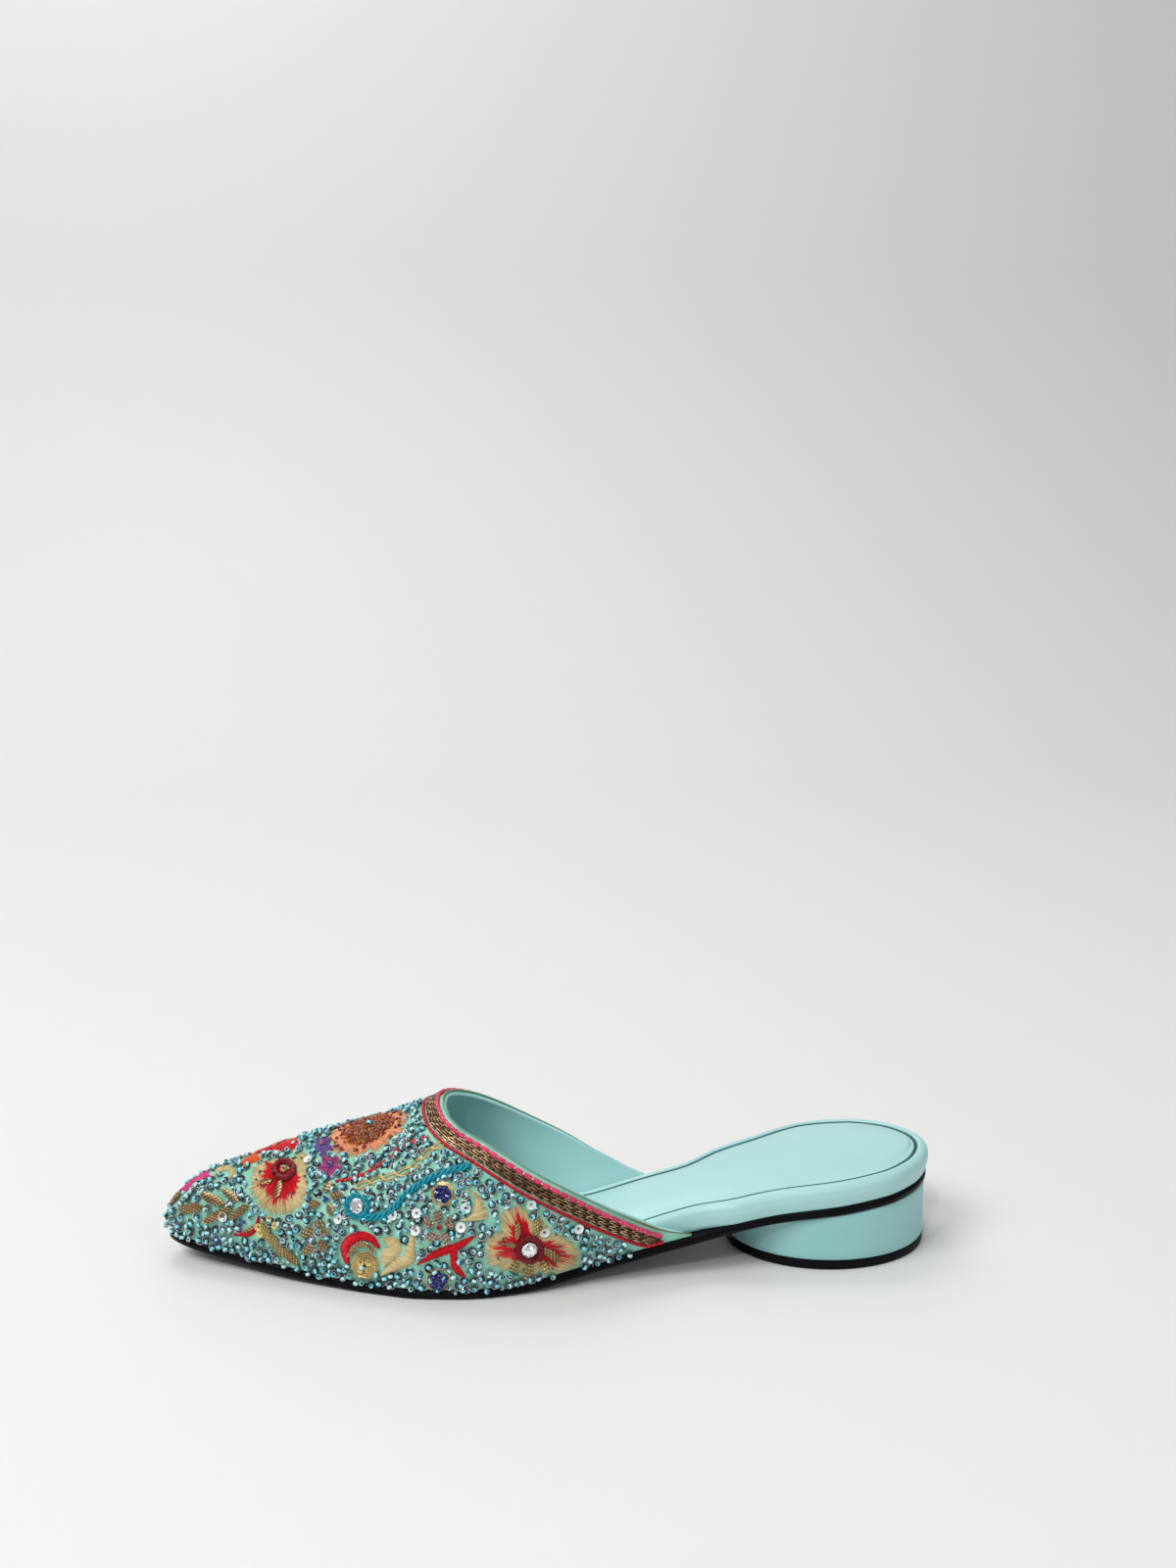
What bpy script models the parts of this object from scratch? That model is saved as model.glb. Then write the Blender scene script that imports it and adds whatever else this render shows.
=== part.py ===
"""Left mule with a pointed toe, an open heel and a low oval heel block.

The shoe stands on the floor, z = 0. The origin is on the floor under the middle of the heel.
+X runs to the heel, -X to the toe, -Y is the outer (lateral) side and +Y the inner (medial) side.
All lengths are in metres. Every station is a share of the sole's length, 0 at the back and 1 at the toe.
A girth says where a point lies round the upper's arch: -1 at the lateral sole edge, 0 on the ridge,
and 1 at the medial sole edge.
"""

import math

import bpy
import numpy as np

# Overall sizes
SOLE_LENGTH = 0.2717
BALL_WIDTH = 0.0738
WAIST_WIDTH = 0.0456
SEAT_WIDTH = 0.0606
HEEL_HEIGHT = 0.0240
TOE_SPRING = 0.0074
INSTEP_HEIGHT = 0.0574
NOSE_LENGTH = 0.019

# Heel and top lift
HEEL_LENGTH = 0.0720
HEEL_WIDTH = 0.0592
HEEL_SETBACK = 0.0008
TOP_LIFT_THICK = 0.0033
TOP_LIFT_EASE = 0.0004

# Outsole, footbed and sock
SOLE_THICK = 0.0030
SOLE_EDGE_ROUND = 0.0005
FOOTBED_THICK = 0.0084
FOOTBED_SWELL = 0.0007
RIM_WIDTH = 0.0033
SOCK_THICK = 0.0012
SOCK_CROWN = 0.0020

# Upper and braid
WALL = 0.0022
FEATHER_INSET = 0.0009
BODY_SWELL = 0.0068
ARCH_POWER = 2.25
WING_START = 0.996
BRAID_EDGE = 0.0014
BRAID_WIDTH = 0.0062
BRAID_THICK = 0.0012
BRAID_FOOT = 0.0008
BRAID_LIFT = 0.00045
BRAID_END = 0.389

# Clearance kept between pieces that touch
GAP = 0.0003

# Mesh densities
SOLE_STATIONS = 38
SOLE_COLUMNS = 4
OVAL_STATIONS = 22
OVAL_COLUMNS = 4
WING_RIBS = 32
WALL_ROWS = 19
ROW_CROWDING = 1.35

# Outline of the sole: station, middle line as a share of BALL_WIDTH (plus is medial),
# breadth as a share of the width named last
OUTLINE = (
    (0.000, 0.000, 0.000, SEAT_WIDTH),
    (0.039, 0.000, 0.693, SEAT_WIDTH),
    (0.083, 0.000, 0.915, SEAT_WIDTH),
    (0.142, 0.000, 1.000, SEAT_WIDTH),
    (0.231, -0.028, 0.858, SEAT_WIDTH),
    (0.330, -0.082, 1.030, WAIST_WIDTH),
    (0.438, -0.089, 1.066, WAIST_WIDTH),
    (0.546, -0.057, 0.864, BALL_WIDTH),
    (0.635, -0.001, 1.000, BALL_WIDTH),
    (0.680, 0.019, 0.992, BALL_WIDTH),
    (0.724, 0.041, 0.927, BALL_WIDTH),
    (0.823, 0.073, 0.696, BALL_WIDTH),
    (0.921, 0.102, 0.396, BALL_WIDTH),
    (0.975, 0.111, 0.225, BALL_WIDTH),
    (1.000, 0.112, 0.000, BALL_WIDTH),
)

# Underside of the outsole: station, height as a share of the height named last
UNDERSIDE = (
    (0.000, 1.000, HEEL_HEIGHT),
    (0.132, 0.858, HEEL_HEIGHT),
    (0.260, 0.652, HEEL_HEIGHT),
    (0.369, 0.400, HEEL_HEIGHT),
    (0.467, 0.167, HEEL_HEIGHT),
    (0.556, 0.029, HEEL_HEIGHT),
    (0.610, 0.000, HEEL_HEIGHT),
    (0.700, 0.000, TOE_SPRING),
    (0.800, 0.162, TOE_SPRING),
    (0.921, 0.541, TOE_SPRING),
    (1.000, 1.000, TOE_SPRING),
)

# Ridge of the arch: station, height as a share of INSTEP_HEIGHT, middle as a share of BALL_WIDTH
RIDGE = (
    (0.250, 1.150, 0.000),
    (0.450, 1.124, 0.000),
    (0.566, 1.054, 0.000),
    (0.625, 1.000, 0.014),
    (0.684, 0.882, 0.028),
    (0.763, 0.779, 0.052),
    (0.842, 0.688, 0.079),
    (0.911, 0.575, 0.100),
    (0.960, 0.498, 0.108),
    (1.000, 0.436, 0.112),
)

# Outward swell of the walls: station, lateral and medial shares of BODY_SWELL
SWELL = (
    (0.300, 0.40, 0.40),
    (0.360, 0.74, 0.80),
    (0.450, 0.90, 1.00),
    (0.530, 0.88, 0.95),
    (0.600, 0.66, 0.74),
    (0.680, 0.37, 0.40),
    (0.800, 0.24, 0.24),
    (1.000, 0.18, 0.18),
)

# Topline of the opening: girth, station
TOPLINE = (
    (-0.996, 0.334),
    (-0.968, 0.362),
    (-0.930, 0.385),
    (-0.860, 0.418),
    (-0.740, 0.473),
    (-0.590, 0.531),
    (-0.410, 0.588),
    (-0.260, 0.626),
    (-0.140, 0.639),
    (0.000, 0.6435),
    (0.160, 0.639),
    (0.280, 0.626),
    (0.430, 0.594),
    (0.620, 0.532),
    (0.755, 0.470),
    (0.860, 0.420),
    (0.930, 0.386),
    (0.968, 0.362),
    (0.996, 0.334),
)

# Footbed: station, thickness as a share of FOOTBED_THICK
FOOTBED_BODY = (
    (0.00, 1.00),
    (0.34, 1.00),
    (0.46, 0.78),
    (0.60, 0.52),
    (1.00, 0.42),
)

# Footbed inside the upper: station, share of the room kept for the upper's wall, share of RIM_WIDTH
INSIDE_UPPER = (
    (0.00, 0.0, 1.00),
    (0.27, 0.0, 1.00),
    (0.33, 1.0, 1.00),
    (0.62, 1.0, 1.00),
    (0.80, 1.1, 0.50),
    (1.00, 1.2, 0.20),
)

# Rolled edge of the footbed, from the floor side up and in: inset as a share of RIM_WIDTH,
# height as a share of the thickness, outward swell as a share of FOOTBED_SWELL
ROLLED_EDGE = (
    (0.10, 0.00, 0.0),
    (0.00, 0.14, 0.2),
    (0.00, 0.46, 1.0),
    (0.05, 0.70, 0.9),
    (0.26, 0.88, 0.4),
    (0.62, 0.96, 0.0),
    (1.00, 0.90, 0.0),
)

# Cross-section of the braid: share of BRAID_WIDTH from the topline, share of BRAID_THICK
BRAID_SECTION = (
    (0.00, 0.55),
    (0.09, 1.00),
    (0.19, 0.60),
    (0.26, 1.00),
    (0.68, 1.00),
    (0.80, 0.45),
    (0.91, 0.95),
    (1.00, 0.50),
)

REAR = HEEL_LENGTH / 2 + HEEL_SETBACK


def smooth_curve(xs, ys):
    """A curve through the points that never overshoots them, as a function."""
    xs = np.array(xs, float)
    ys = np.array(ys, float)
    steps = np.diff(xs)
    rises = np.diff(ys) / steps
    slopes = np.zeros_like(ys)
    for i in range(1, len(xs) - 1):
        if rises[i - 1] * rises[i] > 0:
            before = 2 * steps[i] + steps[i - 1]
            after = steps[i] + 2 * steps[i - 1]
            slopes[i] = (before + after) / (before / rises[i - 1] + after / rises[i])
    slopes[0] = rises[0]
    slopes[-1] = rises[-1]

    def value(x):
        x = np.clip(np.asarray(x, float), xs[0], xs[-1])
        i = np.clip(np.searchsorted(xs, x) - 1, 0, len(xs) - 2)
        step = xs[i + 1] - xs[i]
        t = (x - xs[i]) / step
        start = (1 + 2 * t) * (1 - t) ** 2 * ys[i] + t * (1 - t) ** 2 * step * slopes[i]
        end = t * t * (3 - 2 * t) * ys[i + 1] - t * t * (1 - t) * step * slopes[i + 1]
        return start + end

    return value


def column(table, *places):
    """The products of the named columns, row by row."""
    return [math.prod(row[place] for place in places) for row in table]


stations_of = {
    "middle": smooth_curve(column(OUTLINE, 0), [row[1] * BALL_WIDTH for row in OUTLINE]),
    "breadth": smooth_curve(column(OUTLINE, 0), [(row[2] * row[3] / 2) ** 2 for row in OUTLINE]),
    "underside": smooth_curve(column(UNDERSIDE, 0), column(UNDERSIDE, 1, 2)),
    "ridge": smooth_curve(column(RIDGE, 0), [row[1] * INSTEP_HEIGHT for row in RIDGE]),
    "ridge_middle": smooth_curve(column(RIDGE, 0), [row[2] * BALL_WIDTH for row in RIDGE]),
    "lateral_swell": smooth_curve(column(SWELL, 0), [row[1] * BODY_SWELL for row in SWELL]),
    "medial_swell": smooth_curve(column(SWELL, 0), [row[2] * BODY_SWELL for row in SWELL]),
    "footbed": smooth_curve(column(FOOTBED_BODY, 0), [row[1] * FOOTBED_THICK for row in FOOTBED_BODY]),
    "wall_room": smooth_curve(column(INSIDE_UPPER, 0), column(INSIDE_UPPER, 1)),
    "rim": smooth_curve(column(INSIDE_UPPER, 0), [row[2] * RIM_WIDTH for row in INSIDE_UPPER]),
}
topline_station = smooth_curve(column(TOPLINE, 0), column(TOPLINE, 1))


def station_at(x):
    return (REAR - np.asarray(x, float)) / SOLE_LENGTH


def underside(x):
    """Height of the outsole's underside at x."""
    return stations_of["underside"](station_at(x))


def sole_top(x):
    return underside(x) + SOLE_THICK


def footbed_thick(x):
    return stations_of["footbed"](station_at(x))


def sole_edge(station, side):
    """Y of the sole's outline at a station; side is -1 lateral and 1 medial."""
    breadth = np.sqrt(np.clip(stations_of["breadth"](station), 0, None))
    return stations_of["middle"](station) + side * breadth


def sole_outline(turn):
    """Point of the sole's outline: turn 0 is the back, pi the toe, and minus turns are lateral."""
    station = (1 - math.cos(turn)) / 2
    side = -1 if math.sin(turn) < 0 else 1
    return np.array([REAR - station * SOLE_LENGTH, float(sole_edge(station, side))])


def heel_outline(turn):
    """Point of the heel block's oval."""
    return np.array([HEEL_LENGTH / 2 * math.cos(turn), HEEL_WIDTH / 2 * math.sin(turn)])


def inward_normal(outline, turn):
    """Unit vector in plan from the outline towards its inside."""
    small = 0.004
    along = outline(turn + small) - outline(turn - small)
    along /= np.linalg.norm(along)
    return np.array([-along[1], along[0]])


def inset_point(outline, turn, inset):
    """Outline point moved inwards; inset is a length or a function of the outline point's x."""
    point = outline(turn)
    distance = inset(point[0]) if callable(inset) else inset
    return point + inward_normal(outline, turn) * distance


def add_object(name, vertices, faces, colour, roughness, metallic=0.0):
    """Adds a named mesh object with its own material, with its faces pointing out."""
    mesh = bpy.data.meshes.new(name)
    mesh.from_pydata([tuple(map(float, v)) for v in vertices], [], faces)
    mesh.update()
    mesh.shade_smooth()
    mesh.set_sharp_from_angle(angle=math.radians(35))
    material = bpy.data.materials.new(name)
    material.use_nodes = True
    shader = material.node_tree.nodes["Principled BSDF"]
    shader.inputs["Base Color"].default_value = (*colour, 1.0)
    shader.inputs["Roughness"].default_value = roughness
    shader.inputs["Metallic"].default_value = metallic
    mesh.materials.append(material)
    piece = bpy.data.objects.new(name, mesh)
    bpy.context.scene.collection.objects.link(piece)
    return piece


def slab(name, outline, rings, stations, columns, colour, roughness, crown=0.0):
    """A closed slab from its lowest ring up to its highest.

    Each ring is an inset from the outline and a function that gives z at x. The first and last
    rings are filled across, from the lateral to the medial side, and the last fill may be crowned.
    """
    turns = [math.pi * k / stations for k in range(stations + 1)]
    turns += [-turn for turn in reversed(turns[1:-1])]
    count = len(turns)
    vertices = []
    for inset, height in rings:
        for turn in turns:
            x, y = inset_point(outline, turn, inset)
            vertices.append((x, y, float(height(x))))
    faces = []
    for ring in range(len(rings) - 1):
        for k in range(count):
            after = (k + 1) % count
            low, high = ring * count, (ring + 1) * count
            faces.append((low + k, low + after, high + after, high + k))

    def fill(ring, height, bulge, upward):
        first = ring * count
        rows = [[first]]
        for k in range(1, stations):
            medial, lateral = first + k, first + count - k
            row = [lateral]
            for c in range(1, columns):
                share = c / columns
                a, b = vertices[lateral], vertices[medial]
                x = a[0] + (b[0] - a[0]) * share
                y = a[1] + (b[1] - a[1]) * share
                rise = bulge * 4 * share * (1 - share) * math.sin(math.pi * k / stations) ** 0.5
                row.append(len(vertices))
                vertices.append((x, y, float(height(x)) + rise))
            rows.append([*row, medial])
        rows.append([first + stations])
        for near, far in zip(rows, rows[1:]):
            for c in range(max(len(near), len(far)) - 1):
                a, b = near[min(c, len(near) - 1)], near[min(c + 1, len(near) - 1)]
                d, e = far[min(c, len(far) - 1)], far[min(c + 1, len(far) - 1)]
                face = list(dict.fromkeys((a, b, e, d)))
                faces.append(tuple(face if upward else reversed(face)))

    fill(0, rings[0][1], 0.0, upward=False)
    fill(len(rings) - 1, rings[-1][1], crown, upward=True)
    return add_object(name, vertices, faces, colour, roughness)


def make_top_lift():
    """Hard rubber lift under the heel; its flat underside rests on the floor."""
    rings = [
        (TOP_LIFT_EASE, lambda x: 0.0),
        (0.0, lambda x: TOP_LIFT_EASE),
        (0.0, lambda x: TOP_LIFT_THICK),
    ]
    slab("top_lift", heel_outline, rings, OVAL_STATIONS, OVAL_COLUMNS, (0.012, 0.012, 0.013), 0.5)


def make_heel_block():
    """Leather-wrapped oval block, cut on top to the slope of the outsole."""
    rings = [
        (0.0, lambda x: TOP_LIFT_THICK + GAP),
        (0.0, lambda x: (TOP_LIFT_THICK + underside(x)) / 2),
        (0.0, lambda x: underside(x) - GAP),
    ]
    slab("heel_block", heel_outline, rings, OVAL_STATIONS, OVAL_COLUMNS, (0.27, 0.60, 0.60), 0.42)


def make_outsole():
    """Thin hard outsole with slightly rounded edges, flat under the ball."""
    rings = [
        (SOLE_EDGE_ROUND, underside),
        (0.0, lambda x: underside(x) + SOLE_EDGE_ROUND),
        (0.0, lambda x: sole_top(x) - SOLE_EDGE_ROUND),
        (SOLE_EDGE_ROUND, sole_top),
    ]
    slab("outsole", sole_outline, rings, SOLE_STATIONS, SOLE_COLUMNS, (0.010, 0.010, 0.011), 0.45)


def wall_room(x):
    """Share of the room that the footbed leaves for the upper's wall."""
    return float(stations_of["wall_room"](station_at(x)))


def rim_inset(x, share):
    """Distance from the sole's outline to a line on the footbed's rim."""
    room = wall_room(x) * (FEATHER_INSET + WALL + GAP)
    return room + share * float(stations_of["rim"](station_at(x)))


def footbed_ring(inset_share, height_share, swell_share):
    """A ring of the footbed's rolled edge, which swells out only behind the upper."""

    def inset(x):
        swell = swell_share * FOOTBED_SWELL * max(0.0, 1 - wall_room(x))
        return rim_inset(x, inset_share) - swell

    def height(x):
        return sole_top(x) + GAP + height_share * footbed_thick(x)

    return inset, height


def tray_floor(x):
    """Height of the recess in the footbed's top that holds the sock."""
    return sole_top(x) + GAP + ROLLED_EDGE[-1][1] * footbed_thick(x) - SOCK_THICK - GAP


def make_footbed():
    """Wrapped footbed with a rolled edge round a shallow tray."""
    rings = [footbed_ring(*row) for row in ROLLED_EDGE]
    rings.append((rings[-1][0], tray_floor))
    slab("footbed", sole_outline, rings, SOLE_STATIONS, SOLE_COLUMNS, (0.33, 0.68, 0.67), 0.40)


def make_sock():
    """Padded sock lining that lies in the footbed's tray."""

    def edge(x):
        return rim_inset(x, 1.0) + GAP

    def rounded(x):
        return edge(x) + SOCK_THICK / 2

    rings = [
        (edge, lambda x: tray_floor(x) + GAP),
        (edge, lambda x: tray_floor(x) + GAP + SOCK_THICK / 2),
        (rounded, lambda x: tray_floor(x) + GAP + SOCK_THICK),
    ]
    slab("sock", sole_outline, rings, SOLE_STATIONS, SOLE_COLUMNS, (0.36, 0.70, 0.69), 0.42, SOCK_CROWN)


def arch_point(station, girth):
    """Point on the upper's outer face."""
    side = -1.0 if girth < 0 else 1.0
    turn = min(abs(girth), 1.0) * math.pi / 2
    across = math.sin(turn) ** (2 / ARCH_POWER)
    rise = max(math.cos(turn), 0.0) ** (2 / ARCH_POWER)
    outline_turn = side * math.acos(max(-1.0, 1 - 2 * station))
    foot = inset_point(sole_outline, outline_turn, FEATHER_INSET)
    x = REAR - station * SOLE_LENGTH
    middle = float(stations_of["ridge_middle"](station))
    base = float(sole_top(x)) + GAP
    nose = max(0.0, (station - 1) * SOLE_LENGTH / NOSE_LENGTH + 1)
    nose_drop = max(0.0, 1 - nose**2.6) ** (1 / 2.6)
    height = (float(stations_of["ridge"](station)) - base) * nose_drop
    swell_name = "lateral_swell" if side < 0 else "medial_swell"
    swell = float(stations_of[swell_name](station)) * math.sin(math.pi * (1 - abs(girth)) ** 0.75)
    out = -inward_normal(sole_outline, outline_turn)
    return np.array(
        [
            x + (foot[0] - x) * across + out[0] * swell,
            middle + (foot[1] - middle) * across + out[1] * swell,
            base + height * rise,
        ]
    )


def girth_at(station, y):
    """Girth of the arch point that lies over a plan position, with the swell left out."""
    middle = float(stations_of["ridge_middle"](station))
    side = -1.0 if y < middle else 1.0
    reach = abs(float(sole_edge(station, side)) - middle)
    across = min(1.0, abs(y - middle) / max(reach, 1e-6))
    return side * math.asin(across ** (ARCH_POWER / 2)) * 2 / math.pi


def rib_ends(share):
    """Feather station and topline girth of a rib; share -1 and 1 are the wing ends, 0 the toe."""
    side = -1.0 if share < 0 else 1.0
    along = 1 - abs(share)
    girth = side * WING_START * (1 - along**0.8)
    wing_end = float(topline_station(side * WING_START))
    feather = wing_end + (1 - wing_end) * math.sin(along * math.pi / 2) ** 1.12
    return min(feather, 1.0), girth


def rib(share, count, samples=90):
    """Points of one rib from the sole edge up to the topline, closest together at the edge."""
    side = -1.0 if share < 0 else 1.0
    feather, top_girth = rib_ends(share)
    top = float(topline_station(top_girth))
    foot_y = float(sole_edge(feather, side))
    middle = float(stations_of["ridge_middle"](top))
    reach = float(sole_edge(top, side)) - middle
    top_y = middle + reach * math.sin(abs(top_girth) * math.pi / 2) ** (2 / ARCH_POWER)
    plan_share = min(1.0, max(0.0, ((1 - abs(share)) - 0.25) / 0.35))
    plan_share = plan_share * plan_share * (3 - 2 * plan_share)
    points = []
    for k in range(samples + 1):
        way = (k / samples) ** 2
        station = feather + (top - feather) * way
        straight = side + (top_girth - side) * way**0.5
        over = girth_at(station, foot_y + (top_y - foot_y) * way)
        girth = straight + (over - straight) * plan_share
        points.append(arch_point(station, girth))
    points = np.array(points)
    lengths = np.concatenate([[0], np.cumsum(np.linalg.norm(np.diff(points, axis=0), axis=1))])
    wanted = lengths[-1] * np.linspace(0, 1, count) ** ROW_CROWDING
    return np.stack([np.interp(wanted, lengths, points[:, axis]) for axis in range(3)], axis=1)


def rib_shares():
    """Shares of the ribs, from the lateral wing round the toe to the medial wing."""
    return [k / WING_RIBS for k in range(-WING_RIBS, WING_RIBS + 1)]


def grid_normals(grid):
    """Outward unit normals of a rib grid, whose ribs rise from the sole to the topline."""
    along = np.gradient(grid, axis=0)
    up = np.gradient(grid, axis=1)
    normals = np.cross(up, along)
    return normals / np.linalg.norm(normals, axis=2, keepdims=True)


def offset_grid(grid, distance):
    """Grid moved inwards by a distance, with its sole edge kept at its height."""
    moved = grid - grid_normals(grid) * distance
    foot = grid_normals(grid)[:, 0, :2]
    foot /= np.linalg.norm(foot, axis=1, keepdims=True)
    moved[:, 0, :2] = grid[:, 0, :2] - foot * distance
    moved[:, 0, 2] = grid[:, 0, 2]
    moved[:, 1:, 2] = np.maximum(moved[:, 1:, 2], grid[:, :1, 2] + 1e-5)
    return moved


def closed_strip(name, sections, colour, roughness, metallic=0.0):
    """A solid swept through closed sections, with both ends capped."""
    count = len(sections[0])
    vertices = [point for section in sections for point in section]
    faces = []
    for s in range(len(sections) - 1):
        for k in range(count):
            after = (k + 1) % count
            a, b = s * count + k, s * count + after
            faces.append((a, b, b + count, a + count))
    last = (len(sections) - 1) * count
    half = count // 2
    for first, flip in ((0, True), (last, False)):
        for k in range(half - 1):
            a, b = first + k, first + k + 1
            c, d = first + count - 2 - k, first + count - 1 - k
            face = tuple(dict.fromkeys((a, b, c, d)))
            faces.append(tuple(reversed(face)) if flip else face)
    return add_object(name, vertices, faces, colour, roughness, metallic)


def make_upper(grid):
    """Beaded fabric upper: one hollow wall, open at the collar, the heel and underneath."""
    inner = offset_grid(grid, WALL)
    sections = []
    for outside, inside in zip(grid, inner):
        sections.append([*outside, *inside[::-1]])
    closed_strip("upper", sections, (0.25, 0.62, 0.55), 0.55)


def between(values, share):
    """Value at a share of the way along evenly numbered rows."""
    rows = np.arange(len(values))
    place = share * (len(values) - 1)
    return np.array([np.interp(place, rows, values[:, axis]) for axis in range(values.shape[1])])


def braid_sections(grid):
    """Sections of the braid, which lies on the wall a little below the topline."""
    normals = grid_normals(grid)
    shares = np.linspace(0, 1, 12 * len(grid))
    topline = np.array([between(grid[:, -1], share) for share in shares])
    sections = []
    for i in range(len(grid)):
        if station_at(grid[i, -1, 0]) < BRAID_END:
            continue
        ways = np.linspace(1, 0, 120)
        path = np.array([between(grid[i], way) for way in ways])
        depth = np.array([np.linalg.norm(topline - point, axis=1).min() for point in path])
        depth = np.maximum.accumulate(depth) + np.arange(len(depth)) * 1e-9
        top, foot = [], []
        for across, thick in BRAID_SECTION:
            wanted = min(BRAID_EDGE + across * BRAID_WIDTH, depth[-1] - BRAID_FOOT)
            way = np.interp(wanted, depth, ways)
            base = between(grid[i], way)
            normal = between(normals[i], way)
            normal /= np.linalg.norm(normal)
            top.append(base + normal * (BRAID_LIFT + thick * BRAID_THICK))
            foot.append(base + normal * BRAID_LIFT)
        sections.append([*foot, *top[::-1]])
    return sections


def make_braid(grid):
    """Couched metal braid with a cord along each side, sewn round the collar."""
    closed_strip("collar_braid", braid_sections(grid), (0.30, 0.17, 0.08), 0.38, 0.6)


def main():
    for old in list(bpy.data.objects):
        bpy.data.objects.remove(old)
    make_top_lift()
    make_heel_block()
    make_outsole()
    make_footbed()
    make_sock()
    grid = np.array([rib(share, WALL_ROWS) for share in rib_shares()])
    make_upper(grid)
    make_braid(grid)


main()
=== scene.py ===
import math

import bpy
import numpy as np
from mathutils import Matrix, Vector
from mathutils.bvhtree import BVHTree
from mathutils.kdtree import KDTree


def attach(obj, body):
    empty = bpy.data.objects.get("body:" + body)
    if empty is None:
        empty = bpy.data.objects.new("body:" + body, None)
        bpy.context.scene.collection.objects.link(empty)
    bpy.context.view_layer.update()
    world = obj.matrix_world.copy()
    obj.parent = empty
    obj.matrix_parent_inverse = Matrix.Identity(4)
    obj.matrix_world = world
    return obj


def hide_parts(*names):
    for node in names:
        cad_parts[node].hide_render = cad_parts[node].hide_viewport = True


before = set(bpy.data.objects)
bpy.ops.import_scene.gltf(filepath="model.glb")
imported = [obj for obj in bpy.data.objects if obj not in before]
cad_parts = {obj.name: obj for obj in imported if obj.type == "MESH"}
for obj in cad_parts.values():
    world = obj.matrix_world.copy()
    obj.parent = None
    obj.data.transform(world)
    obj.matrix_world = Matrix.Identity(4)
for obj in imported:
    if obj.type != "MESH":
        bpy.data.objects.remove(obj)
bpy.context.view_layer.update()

# The shoe stands on a pale studio sweep, lit by one broad soft lamp from the upper left, a small
# one that makes the glass glint, a weak one from the right and one for the backdrop. The camera
# looks slightly down at the outer side, as in the photo.
CAMERA_PLACE = (-0.1444, -0.5287, 0.2522)
CAMERA_TILT = 81.0
CAMERA_SWING = -6.245
CAMERA_LENS = 35.97
FLOOR_COLOUR = (0.83, 0.83, 0.82)
# Name, place, the point it faces, size in metres, power in watts
LIGHTS = (
    ("key", (-1.30, -0.80, 1.70), (-0.1, 0.1, 0.0), 1.0, 23.0),
    ("spark", (-0.50, -1.10, 1.10), (-0.15, 0.0, 0.0), 0.10, 3.5),
    ("fill", (1.2, -1.4, 0.9), (-0.1, 0.0, 0.0), 0.7, 2.0),
    ("back", (-0.6, 0.9, 2.0), (0.2, 1.6, 0.5), 1.0, 11.5),
)
SWEEP_FRONT = -1.6
SWEEP_BACK = 1.6
SWEEP_RISE = 2.6
SWEEP_BEND = 0.6
SWEEP_STEPS = 12
SWEEP_SIDES = (-2.6, 2.4)
WORLD_STRENGTH = 0.46
WORLD_LOW = (0.25, 0.25, 0.26, 1.0)
WORLD_HIGH = (1.0, 1.0, 1.0, 1.0)
WORLD_SEEN = (1.75, 1.75, 1.73, 1.0)

camera_data = bpy.data.cameras.new("camera")
camera_data.lens = CAMERA_LENS
camera_data.sensor_width = 36.0
camera_data.clip_start = 0.01
camera = bpy.data.objects.new("camera", camera_data)
camera.location = CAMERA_PLACE
camera.rotation_euler = (math.radians(CAMERA_TILT), 0.0, math.radians(CAMERA_SWING))
bpy.context.scene.collection.objects.link(camera)
bpy.context.scene.camera = camera


def new_material(name, colour=(0.8, 0.8, 0.8), roughness=0.5, **values):
    """A material with one Principled shader; extra values name its sockets with underscores."""
    material = bpy.data.materials.new(name)
    material.use_nodes = True
    shader = material.node_tree.nodes["Principled BSDF"]
    shader.inputs["Base Color"].default_value = (*colour, 1.0)
    shader.inputs["Roughness"].default_value = roughness
    for key, value in values.items():
        shader.inputs[key.replace("_", " ")].default_value = value
    return material


def make_sweep():
    """Floor that bends up into a backdrop far behind the shoe."""
    profile = [(SWEEP_FRONT, 0.0), (SWEEP_BACK - SWEEP_BEND, 0.0)]
    for k in range(1, SWEEP_STEPS + 1):
        turn = math.pi / 2 * k / SWEEP_STEPS
        away = SWEEP_BACK - SWEEP_BEND + SWEEP_BEND * math.sin(turn)
        profile.append((away, SWEEP_BEND * (1 - math.cos(turn))))
    profile.append((SWEEP_BACK, SWEEP_RISE))
    vertices = [(side, y, z) for y, z in profile for side in SWEEP_SIDES]
    faces = [(2 * k, 2 * k + 1, 2 * k + 3, 2 * k + 2) for k in range(len(profile) - 1)]
    mesh = bpy.data.meshes.new("floor")
    mesh.from_pydata(vertices, [], faces)
    mesh.shade_smooth()
    mesh.materials.append(new_material("floor", FLOOR_COLOUR, 0.6))
    floor = bpy.data.objects.new("floor", mesh)
    bpy.context.scene.collection.objects.link(floor)


def add_light(name, place, aim, size, power):
    """A square soft light that faces a point."""
    data = bpy.data.lights.new(name, "AREA")
    data.size = size
    data.energy = power
    light = bpy.data.objects.new(name, data)
    light.location = place
    light.rotation_euler = (Vector(aim) - Vector(place)).to_track_quat("-Z", "Y").to_euler()
    bpy.context.scene.collection.objects.link(light)


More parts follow.
